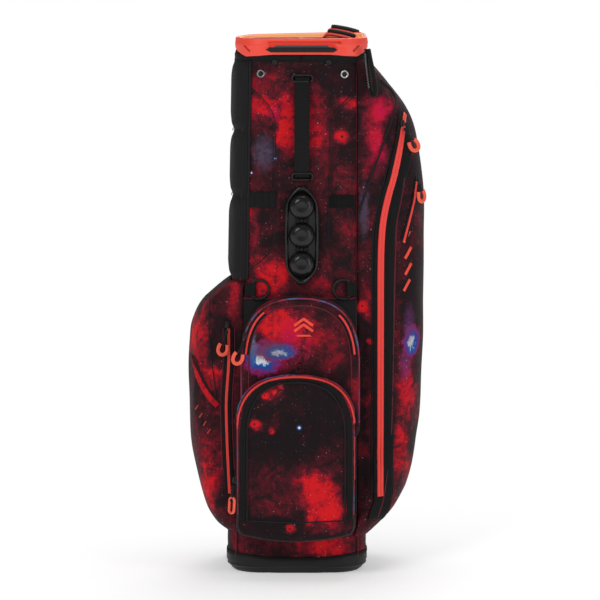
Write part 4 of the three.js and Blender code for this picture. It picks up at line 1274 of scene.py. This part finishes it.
def build_emblem():
    """A plain emblem of two nested coral chevrons and a bar."""
    for i, z in enumerate((414, 405)):
        line = pocket_curve("upper", [(-4, z - 7), (11, z + 4), (26, z - 7)], 0.4, 1.5)
        swept(f"emblem_chevron_{i}", *line, flat_profile(4.4, 0.6), "mark")
    line = pocket_curve("upper", [(0, 391), (22, 391)], 0.4, 1.5)
    swept("emblem_bar", *line, flat_profile(3.0, 0.6), "mark")


# ---- Zip pulls: sliders, twisted cords and coral grips ----
class Place:
    """A zip's own frame: origin, turn about Z, hang across the cloth and lean off it, all in degrees."""

    def __init__(self, origin, turn, hang, lean=0.0):
        self.origin = np.array(origin, float)
        self.turn, self.hang, self.lean = map(math.radians, (turn, hang, lean))

    def __call__(self, p, hanging=True):
        x, y, z = p
        if hanging:
            y += 3.8
            c, s = math.cos(-self.lean), math.sin(-self.lean)
            y, z = y * c - z * s - 3.8, y * s + z * c
            c, s = math.cos(self.hang), math.sin(self.hang)
            x, z = x * c + z * s, -x * s + z * c
        c, s = math.cos(self.turn), math.sin(self.turn)
        return self.origin + np.array((x * c - y * s, x * s + y * c, z))


def local_sweep(place, path, profile, closed=False, out=(0, -1, 0)):
    """Sweeps a profile along a path in a zip's frame and puts it in place."""
    v, f = sweep(path, [out] * len(path), profile, closed)
    return [place(p) for p in v], f


# The hanging parts lie this far in front of the zip.
HANG_Y = -3.8


def strand(length, phase):
    """One strand of the twisted cord, from just below the slider."""
    radius, pitch, top = 1.15, 9.0, -5.0
    pts = []
    for z in np.linspace(top, -length, int(length)):
        a = 2 * math.pi * z / pitch + phase
        pts.append((radius * math.cos(a), HANG_Y + 0.7 * radius * math.sin(a), z))
    return pts


def slider_body(place):
    """A waisted body with a bridge on it."""
    half = [(2.6, -2), (4.0, 1.0), (4.0, 4.0), (2.8, 8.6)]
    outline = [(-x, z) for x, z in half] + half[::-1]
    outline = even(outline + outline[:1], 1.2)[:-1]
    middle = 3.3
    layers = [(0.9, 1.0), (1.0, 0.6), (1.0, -0.6), (0.86, -1.3), (0.5, -1.6)]
    verts = [place((x * scale, y, middle + (z - middle) * scale), False)
             for scale, y in layers for x, z in outline]
    n = len(outline)
    faces = grid_faces(len(layers), n, True)
    faces += [tuple(reversed(range(n))), tuple(range(len(verts) - n, len(verts)))]
    bridge = catmull([(0, -0.9, 5.6), (0, -1.9, 4.8), (0, -2.7, 2.8), (0, -2.8, 0.6), (0, -2.0, -1.2),
                      (0, -0.9, -1.6)], 18)
    v, f = sweep(bridge, [(1, 0, 0)] * len(bridge), round_profile(0.95, 8))
    return merge([(verts, faces), ([place(p, False) for p in v], f)])


def pull_cord(place, stem, grip):
    """Two strands twisted together that open into the grip, with a knot just under the slider."""
    ends = ((2.6, -2.5), (5.2, -6), (6.6, -9.5)) if grip == "u" else ((2.0, -2.5), (3.0, -7))
    parts = []
    for phase, side in ((0.0, -1), (math.pi, 1)):
        path = strand(stem, phase) + [(side * x, HANG_Y, z - stem) for x, z in ends]
        parts.append(local_sweep(place, catmull(path, len(path) * 2), round_profile(1.55, 8)))
    turns = np.linspace(0, 4 * math.pi, 40)
    knot = [(1.9 * math.cos(a), HANG_Y + 1.7 * math.sin(a), -6.4 - a * 0.35) for a in turns]
    parts.append(local_sweep(place, knot, round_profile(0.95, 6), out=(0, 0, 1)))
    return merge(parts)


def u_grip(place, stem):
    """A moulded U with small nubs on it."""
    half = [(5.6, -4), (7.2, -10.5), (6.4, -17), (3.2, -20.6)]
    guide = [(-x, z) for x, z in half] + [(0, -21.4)] + half[::-1]
    path = catmull([(x, HANG_Y, z - stem) for x, z in guide], 50)
    half = [(2.9, 1.0), (2.2, 1.8)]
    profile = [(-2.9, -1.4)] + [(-x, out) for x, out in half] + half[::-1]
    profile += [(2.9, -1.4), (2.2, -1.9), (-2.2, -1.9)]
    parts = [local_sweep(place, path, profile)]
    for t in np.linspace(0.22, 0.78, 7):
        x, y, z = path[int(t * 49)]
        verts, faces = lathe([(1.0, 0.0), (1.0, 0.5), (0.6, 0.8), (0.1, 0.85)], (x, y - 1.6, z), segments=10)
        parts.append(([place(p) for p in verts], faces))
    return merge(parts)


def loop_grip(place, stem):
    path = [(x, HANG_Y, z) for x, z in rounded_loop(0, -stem - 13.5, 5.0, 12.5, 4.6)]
    profile = [(-1.9, -1.4), (-1.9, 0.8), (-1.2, 1.6), (1.2, 1.6), (1.9, 0.8), (1.9, -1.4)]
    return local_sweep(place, path, profile, True)


def build_pull(name, place, stem, grip="u"):
    """One pull. The side zip's slider and pull are a single CAD piece."""
    pull = f"{name}_zip_pull"
    slider = pull if name == "side" else f"{name}_zip_slider"
    add_mesh(f"{name}_slider_body", *slider_body(place), "plastic", body=slider,
             nodes=() if name == "side" else (slider,), angle=45)
    add_mesh(f"{name}_cord", *pull_cord(place, stem, grip), "cord", body=pull, nodes=(pull,))
    shape = u_grip if grip == "u" else loop_grip
    add_mesh(f"{name}_grip", *shape(place, stem), "coral_grip", body=pull, angle=50)


def build_pulls():
    build_pull("ball", Place((-98.5, -171.5, 160), -40, 5), 24, "loop")
    build_pull("upper", Place((-82, -148, 388), 0, 20), 22)
    build_pull("left", Place((-111, -106.5, 401), 0, 12), 24)
    build_pull("right", Place((169.2, -83.9, 723), 25, -28, 7), 24)
    build_pull("side", Place((194.5, -62, 632), 45, -14), 12)


# ---- Hip pad, towel loop and carrying straps ----
PAD_EDGES = (477.0, 611.0, 715.0, 827.0)


def pad_swell(z):
    """How full the pad is at a height: flat at its ends and at the two quilting grooves."""
    for low, high in zip(PAD_EDGES[:-1], PAD_EDGES[1:]):
        if low <= z <= high:
            return float(smooth(min(z - low, high - z, 14.0) / 14.0)) ** 0.7
    return 0.0


def build_hip_pad():
    s0, s1 = -(RIGHT_START + 2 * FLAT_Y), -(FLAT_X + CORNER * (math.pi / 2 - 1.08))
    ss = np.linspace(s0, s1, 40)
    zs = np.arange(PAD_EDGES[0], PAD_EDGES[-1] + 0.5, 3.5)
    grooves = PAD_EDGES[1:-1]
    verts, pinned = [], []
    for z in zs:
        for i, s in enumerate(ss):
            t = 2 * (s - s0) / (s1 - s0) - 1
            across = (1 - abs(t) ** 8) ** 0.5
            verts.append(tube_point(s, z, 0.9 + 5.0 * pad_swell(z) * across))
            near = min(abs(z - g) for g in grooves) < 2.0
            pinned.append(i in (0, len(ss) - 1) or near or z in (zs[0], zs[-1]))
    faces = grid_faces(len(zs), len(ss))
    verts = inflate(verts, faces, np.array(pinned), 1.2, 2.0)
    thicken(add_mesh("hip_pad_cloth", verts, faces, "air_mesh", nodes=("hip_pad",)), 2.0)
    for k, s in enumerate((s0, s1)):
        line = tube_line([(s, z) for z in np.arange(478, 827, 6.0)], 2.0, 1, 6)
        rope(f"hip_pad_piping_{k}", *line, 2.0, "piping")
    for z in grooves:
        line = tube_line([(s, z) for s in ss[1:-1]], 3.6, 1, 6)
        stitches(f"hip_pad_stitches_{int(z)}", *line, "thread_dark", pitch=3.6, radius=0.5)


def build_towel_loop():
    """A folded webbing loop with a zigzag of light thread."""
    c, s = math.cos(math.radians(-30)), math.sin(math.radians(-30))
    origin = np.array((111.0, -107.0, 0.0))

    def placed(points):
        return [origin + np.array((x * c - y * s, x * s + y * c, z)) for x, y, z in points]
    path = catmull([(-0.5, 845), (1.0, 826), (4.4, 800), (7.4, 782), (10.0, 773.5), (13.5, 770.5),
                    (16.8, 774.5), (16.8, 786), (12.8, 806), (7.6, 827), (3.6, 845)], 80)
    out = [(x - 8.0 + (z - 800) * 0.18, 0, (z - 790) * 0.25) for x, z in path]
    verts, faces = sweep([(x, 0, z) for x, z in path], out, flat_profile(9.0, 3.2, -1.6, 0.4))
    add_mesh("towel_loop_webbing", placed(verts), faces, "webbing", nodes=("towel_loop",))
    zigzag = []
    for i, z in enumerate(np.arange(783, 838, 2.1)):
        x = np.interp(z, [782, 800, 826, 838], [7.4, 4.4, 1.0, 0.1])
        zigzag.append((x + (1.3 if i % 2 else -1.3), -5.0, z))
    verts, faces = sweep(zigzag, [(0, -1, 0.01)] * len(zigzag), round_profile(0.4, 5))
    add_mesh("towel_loop_zigzag", placed(verts), faces, "thread_light")


def strap_path(rows):
    """The strap's middle line in Y and Z behind the bag, and its thickness, at even shares of its length."""
    outer = np.vstack([bezier((123, 800), (152, 760), (152, 640), (148, 560), 24),
                       bezier((148, 560), (144, 480), (132, 400), (122, 322), 24)[1:]])
    inner = np.vstack([bezier((117, 800), (138, 740), (138, 640), (134, 560), 24),
                       bezier((134, 560), (130, 480), (122, 400), (116, 322), 24)[1:]])
    middle = (outer + inner) / 2
    shares = np.linspace(0, 1, rows), np.linspace(0, 1, len(middle))
    return [np.interp(*shares, v) for v in (*middle.T, np.linalg.norm(outer - inner, axis=1))]


def shoulder_pad(side, cx, rows=72, around=28):
    """A padded strap, quilted, swollen and bound along both edges."""
    ys, zs, thick = strap_path(rows)
    path = np.stack([np.full(rows, cx), ys, zs], axis=1)
    _, out, across = path_frames(path, [(0, 1, 0)] * rows)
    verts, pinned = [], []
    for r in range(rows):
        end = min(r, rows - 1 - r)
        half_w = 26.5 * min(1.0, 0.8 + end / 30.0)
        half_t = max(2.4, thick[r] / 2 * min(1.0, 0.55 + end / 14.0))
        for k in range(around):
            a = 2 * math.pi * k / around
            c, s = math.cos(a), math.sin(a)
            x = math.copysign(abs(c) ** 0.55, c) * half_w
            y = math.copysign(abs(s) ** 0.75, s) * half_t
            quilt = 0.5 * math.sin(zs[r] * 0.16) * abs(s)
            verts.append(path[r] + across[r] * x + out[r] * (y + quilt))
            pinned.append(abs(s) < 0.25 or end == 0)
    faces = flipped(grid_faces(rows, around, True))
    faces += [tuple(range(around)), tuple(reversed(range((rows - 1) * around, rows * around)))]
    verts = inflate(verts, faces, np.array(pinned), 1.6, 3.0, shrink=0.006)
    add_mesh(f"shoulder_pad_{side}", verts, faces, "air_mesh", nodes=(f"shoulder_strap_{side}",))
    for k, edge in ((0, "right"), (around // 2, "left")):
        line = np.array([verts[r * around + k] for r in range(1, rows - 1)])
        rope(f"shoulder_pad_{side}_binding_{edge}", line, [(0, 1, 0)] * len(line), 1.8, "piping")
    return Surface(verts, faces)


def strap_buckle(side, place, normal):
    """An adjuster on the strap's lower end: a rounded ring with a bar across it."""
    centre = place + normal * 2.4
    across = np.array((1, 0, 0))
    up = np.cross(normal, across)
    up /= np.linalg.norm(up)
    loop = [centre + across * a + up * b for a, b in rounded_loop(0, 0, 15.5, 9.0, 3.0)]
    profile = [(-1.8, -1.6), (-1.8, 1.4), (-1.0, 2.2), (1.0, 2.2), (1.8, 1.4), (1.8, -1.6)]
    swept(f"strap_buckle_{side}", loop, [normal] * len(loop), profile, "plastic", closed=True)
    bar = [centre + across * a for a in np.linspace(-14, 14, 8)]
    swept(f"strap_buckle_bar_{side}", bar, [normal] * len(bar), round_profile(1.9, 10, lift=0.6), "plastic")


def build_straps():
    for side, cx in (("left", -26.0), ("right", 32.0)):
        pad = shoulder_pad(side, cx)
        p, n = pad.drop([(cx, 200, z) for z in np.linspace(796, 326, 100)], (0, -1, 0), 0.3)
        swept(f"shoulder_webbing_{side}", p, n, flat_profile(24, 1.6), "webbing")
        for name, row in (("a", -10.0), ("b", 10.0)):
            stitches(f"shoulder_stitches_{side}_{name}", p[::2], n[::2], "thread_dark", sideways=row,
                     lift=1.9, pitch=3.8, radius=0.45)
        i = int(np.argmin(np.abs(p[:, 2] - 352.0)))
        strap_buckle(side, p[i], n[i])


# ---- Rim: the moulded cuff, its grip and the lift handle ----
RIM_ARCS = np.arange(-LOOP / 2, LOOP / 2, 2.5)
CORNER_MID = FLAT_X + QUARTER * 0.42
# Arc lengths at which the rim's rows are given: middle, grip end, corner, side, side pocket and back.
RIM_KEYS = [0, 46, CORNER_MID, RIGHT_START, RIGHT_START + 60, LOOP / 2]


def rear_drop(s):
    """The rim sits lower along the back, and lowest towards the hip pad."""
    lowest = float(np.interp(section(s)[0], [-100, 100], [6.0, 1.5]))
    return float(smooth((abs(s) - RIGHT_START) / 60.0)) * lowest


def cuff_row(s):
    """The rim's outer profile at an arc length, from its lower edge up: heights and stand-offs."""
    def at(*values):
        return float(np.interp(abs(s), RIM_KEYS, values))
    slot = float(smooth((60 - abs(s - 5)) / 4.0))
    rear = rear_drop(s)
    return [
        (at(838.4, 838.4, 838.4, 848, 842, 838.4), -3.5),
        (at(835.4, 835.4, 832.6, 848, 841, 835.6), at(1.2, 1.4, 3.4, 0.8, 1.2, 1.2)),
        (at(836.4, 836.4, 833.8, 849, 842, 836.4), at(2.0, 2.2, 4.4, 1.6, 2.0, 2.0)),
        (at(845, 845, 849, 853, 849, 848), at(2.2, 2.4, 4.8, 1.8, 2.4, 2.4)),
        (850.8, at(2.3, 2.3, 3.4, 1.8, 2.2, 2.2) - 3.2 * slot),
        (851.4, at(2.2, 2.2, 3.2, 1.7, 2.2, 2.2) - 5.4 * slot),
        (856.2 - rear * 0.5, at(2.1, 2.1, 2.2, 1.6, 2.2, 2.2) - 5.4 * slot),
        (857.0 - rear * 0.6, at(2.0, 2.0, 1.9, 1.6, 2.1, 2.1) - 0.2 * slot),
        (860.2 - rear, at(1.4, 1.4, 1.2, 1.2, 1.6, 1.6)),
        (861.3 - rear, 0.3), (861.6 - rear, -1.6), (860.6 - rear, -3.6),
    ]


def lining_row(s):
    """The rim's inner profile, from its top down."""
    rear = rear_drop(s)
    rows = [(860.6, -3.6), (859.6, -5.2), (856, -6.2), (848, -8.6), (842, -9.6), (838.4, -9.8), (838.4, -3.5)]
    return [(z - (rear if z > 850 else 0), off) for z, off in rows]


def around_rim(name, row_at, material, **look):
    """A band that runs all the way round the rim, with its profile at each arc length."""
    rows = [[tube_point(s, z, off) for z, off in row_at(s)] for s in RIM_ARCS]
    n, m = len(rows), len(rows[0])
    faces = []
    for i in range(n):
        here, there = i * m, (i + 1) % n * m
        faces += [(here + k, there + k, there + k + 1, here + k + 1) for k in range(m - 1)]
    add_mesh(name, [p for row in rows for p in row], faces, material, **look)


def facet(side, corners, steps=8):
    """A triangle between three (arc length, height, stand-off) places, bent with the tube."""
    a, b, c = np.array(corners)
    grid, verts, faces = {}, [], []
    for i in range(steps + 1):
        for j in range(steps + 1 - i):
            s, z, off = a + (b - a) * i / steps + (c - a) * j / steps
            grid[i, j] = len(verts)
            verts.append(tube_point(side * s, z, off))
    for i in range(steps):
        for j in range(steps - i):
            faces.append((grid[i, j], grid[i + 1, j], grid[i, j + 1]))
            if i + j < steps - 1:
                faces.append((grid[i + 1, j], grid[i + 1, j + 1], grid[i, j + 1]))
    return verts, [f[::-1] for f in faces] if side > 0 else faces


def build_cuff():
    around_rim("cuff_shell", cuff_row, "coral", nodes=("top_cuff",), angle=16)
    # The lining's paler orange and its weak glow are painted light.
    around_rim("cuff_lining", lining_row, "coral_inside", angle=30)
    # Three planes rise to a point beside each front corner.
    corners = ((50, 853.0, 2.0), (RIGHT_START - 6, 854.0, 1.2), (CORNER_MID - 7, 833.6, 3.2))
    peak = (CORNER_MID - 4, 849.5, 6.0)
    facets = [facet(side, (corners[i], corners[(i + 1) % 3], peak)) for side in (-1, 1) for i in range(3)]
    add_mesh("cuff_facets", *merge(facets), "coral", angle=14)
    for name, side in (("left", -1), ("right", 1)):
        ends = [tube_point(side * s, z, 5.6) for s, z in ((CORNER_MID - 8, 841.0), (CORNER_MID + 2, 850.0))]
        path = even(ends, 1.5)
        out = tube_point(side * CORNER_MID, 845, 9) - tube_point(side * CORNER_MID, 845, 0)
        swept(f"cuff_crease_{name}", path, [out] * len(path), flat_profile(2.4, 1.0, -0.1), "coral_shadow")


def plate(name, outline, y_back, y_front, bevel, material, nodes=()):
    """A flat moulded plate with rounded front edges; the outline is in X and Z."""
    pts = np.array(outline, float)
    centre = pts.mean(axis=0)
    size = np.abs(pts - centre).max(axis=0)
    layers = [(0.0, y_back), (0.0, y_front + bevel)]
    for a in np.linspace(0, math.pi / 2, 4)[1:]:
        layers.append((bevel * (1 - math.cos(a)), y_front + bevel * (1 - math.sin(a))))
    verts = []
    for inset, y in layers:
        verts.extend((x, y, z) for x, z in centre + (pts - centre) * (1 - inset / size))
    n = len(pts)
    faces = grid_faces(len(layers), n, True)
    faces += [tuple(range(len(verts) - n, len(verts))), tuple(reversed(range(n)))]
    return add_mesh(name, verts, faces, material, nodes=nodes, angle=40)


def build_front_grip():
    pad = [(-41, 839.6), (58, 839.6), (65, 843.6), (59, 847.6), (-43, 847.6), (-49, 843.6)]
    plate("front_grip_pad", pad, -109.6, -115.5, 1.6, "rubber", nodes=("front_grip",))
    ledge = [(-36, 847.2), (52, 847.2), (49, 850.4), (-33, 850.4)]
    plate("front_grip_ledge", ledge, -109.6, -113.6, 0.8, "grip_grey")


def build_lift_handle():
    """An arch on the rim's right rear corner with two ribbed grips along its top."""
    turn = math.radians(-22)
    c, s = math.cos(turn), math.sin(turn)
    origin = np.array((77.0, 96.0, 861.0))

    def place(p):
        x, y, z = p
        return origin + np.array((x * c - y * s, x * s + y * c, z))

    def fall(y):
        """The arch tilts towards the front."""
        return 0.44 * y - 2.0
    path = catmull([(-36, -7), (-33.5, 2), (-28, 11.5), (-21, 15.2), (-8, 14.0), (10, 10.6), (24, 6.6),
                    (33, 1.5), (38, -7)], 60)
    ys = (-14.0, -12.5, -6.0, 0.0, 6.0, 11.0, 12.5)
    drops = (-10.5, -7.5, fall(-6.0), fall(0.0), fall(6.0), fall(11.0), -1.0)
    verts = [place((x, y, z + dz)) for x, z in path for y, dz in zip(ys, drops)]
    arch = add_mesh("lift_handle_arch", verts, grid_faces(len(path), len(ys)), "coral", angle=40)
    thicken(arch, 3.4, 0.0)
    sides = 12
    xs = np.linspace(-23, 25, 120)
    zs = np.interp(xs, path[:, 0], path[:, 1])
    for i, y in enumerate((-9.5, 6.5)):
        line = [(x, y, z + fall(y) + 2.4) for x, z in zip(xs, zs)]
        verts, faces = sweep(line, [(0, 0, 1)] * len(xs), round_profile(3.9, sides))
        verts = np.array(verts)
        for r in range(len(xs)):
            rib = 1.0 + 0.10 * (r // 4 % 2)
            end = min(1.0, 0.55 + min(r, len(xs) - 1 - r) / 6)
            ring = slice(r * sides, (r + 1) * sides)
            verts[ring] = line[r] + (verts[ring] - line[r]) * rib * end
        add_mesh(f"lift_handle_rib_{i}", [place(p) for p in verts], faces, "rubber",
                 nodes=("lift_handle_grip",) if i == 0 else (), angle=35)


# ---- Base moulding ----
def base_rise(s):
    """The base moulding sweeps up from the middle of its front to the corners."""
    return 7.0 * float(smooth((abs(s) - 25) / 75)) * (1 - float(smooth((abs(s) - 150) / 60)))


def build_base():
    """The base moulding, open behind for the legs, and the binding above it."""
    gap, top = 66.0, 24
    ss = np.arange(-LOOP / 2 + gap, LOOP / 2 - gap + 1, 3.0)
    rows = [(1.2, -10.2), (0.4, -9.2), (0.2, -7.6), (1.4, -6.2), (6.0, -3.6), (11.0, -0.4), (12.2, 0.7),
            (13.2, 1.3), (21.6, 1.3), (22.8, 0.9), (23.7, 0.1), (23.7, -1.0)]
    verts = []
    for s in ss:
        for z, off in rows:
            x, y = section(s, off)
            up = base_rise(s) * (0.5 + 0.5 * z / top)
            verts.append((x * WIDTH_SCALE[0], y * (BACK_SCALE[0] if y > 0 else 1.0), z + up))
    faces = flipped(grid_faces(len(ss), len(rows)))
    faces = [(d, a, b, c) for a, b, c, d in faces]
    thicken(add_mesh("base_moulding", verts, faces, "rubber", angle=35), 0.6)
    line = tube_line([(s, 24.6 + base_rise(s)) for s in np.arange(-LOOP / 2, LOOP / 2, 4.0)])
    profile = [(2.4, -0.5), (2.4, 1.0), (1.7, 1.6), (-1.7, 1.6), (-2.4, 1.0), (-2.4, -0.5)]
    swept("base_binding", *line, profile, "binding", closed=True)


# ---- Finishes for the CAD pieces that stay ----
def dress_cad():
    table = {"base_cup": "rubber", "foot_plate": "rubber", "foot_plate_pin": "steel",
             "divider_sheets": "black_cloth", "push_bar": "rod_steel"}
    for side in ("left", "right"):
        table[f"bow_rod_{side}"] = "rod_steel"
        table[f"leg_{side}_tube"] = "tube_metal"
        table[f"leg_{side}_foot"] = "rubber"
        table[f"leg_{side}_pin"] = "steel"
    for name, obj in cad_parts.items():
        if not obj.hide_render:
            obj.data.materials.clear()
            obj.data.materials.append(MAT[table.get(name, "plastic")])


# ---- Stage: floor, light and camera ----
def linked(name, data):
    obj = bpy.data.objects.new(name, data)
    bpy.context.scene.collection.objects.link(obj)
    return obj


def build_floor():
    """The floor is grey-white round the bag and runs out to pure white, so that no horizon shows."""
    half = 30.0
    mesh = bpy.data.meshes.new("floor")
    corners = [(x * half, y * half, 0) for x, y in ((-1, -1), (1, -1), (1, 1), (-1, 1))]
    mesh.from_pydata(corners, [], [(0, 1, 2, 3)])
    n = Nodes("floor_finish")
    far = n.span(n.vector("LENGTH", n.coords), 0.28, 0.75, 0.0, 1.0, True)
    n.shader.inputs["Emission Color"].default_value = (1, 1, 1, 1)
    n.link(n.math("ADD", n.math("MULTIPLY", far, 0.62), 0.38), n.shader.inputs["Emission Strength"])
    shade = n.blend(far, (0.90, 0.90, 0.90, 1), (0.0, 0.0, 0.0, 1))
    mesh.materials.append(n.finish(shade, 0.8, specular=0.0))
    linked("floor", mesh)


def build_world():
    """White to the camera, and dimmer as a light."""
    world = bpy.data.worlds.new("studio")
    bpy.context.scene.world = world
    world.use_nodes = True
    tree = world.node_tree
    back = tree.nodes["Background"]
    back.inputs["Color"].default_value = (1, 1, 1, 1)
    seen = tree.nodes.new("ShaderNodeLightPath").outputs["Is Camera Ray"]
    level = tree.nodes.new("ShaderNodeMapRange")
    level.inputs["To Min"].default_value = 0.26
    level.inputs["To Max"].default_value = 1.0
    tree.links.new(seen, level.inputs["Value"])
    tree.links.new(level.outputs["Result"], back.inputs["Strength"])


def aimed(obj, place, aim):
    obj.location = place
    obj.rotation_euler = (Vector(aim) - Vector(place)).to_track_quat("-Z", "Y").to_euler()


def build_lights():
    for name, place, height, size, power in (
            ("key", (-1.7, -3.0, 2.6), 0.45, (1.3, 1.3), 38), ("fill", (2.4, -2.2, 1.2), 0.5, (0.9, 2.0), 16),
            ("top", (0.2, 0.4, 3.0), 0.5, (1.8, 1.8), 26), ("back", (0.6, 3.0, 2.2), 0.4, (1.8, 1.8), 26)):
        light = bpy.data.lights.new(name, "AREA")
        light.shape = "RECTANGLE"
        light.size, light.size_y = size
        light.energy = power
        aimed(linked(name, light), place, (0, 0, height))


def build_camera():
    camera_data = bpy.data.cameras.new("camera")
    camera_data.lens = 169.1
    camera_data.sensor_width = 36.0
    camera = linked("camera", camera_data)
    aimed(camera, (0.0, -4.6, 0.88), (0.0054, 0, 0.4340))
    bpy.context.scene.camera = camera
    bpy.context.scene.view_settings.view_transform = "Standard"


build_tube()
build_front_seams()
build_trunk_handle()
build_pen_sleeves()
build_hook_tape()
build_fasteners()
build_rings()
build_ball_holder()
build_front_pockets()
build_ball_pocket_trim()
build_upper_pocket_trim()
build_gusset_piping()
build_side_pockets()
build_right_trim()
build_left_trim()
build_marks()
build_emblem()
build_pulls()
build_hip_pad()
build_towel_loop()
build_straps()
build_cuff()
build_front_grip()
build_lift_handle()
build_base()
dress_cad()
build_floor()
build_world()
build_lights()
build_camera()
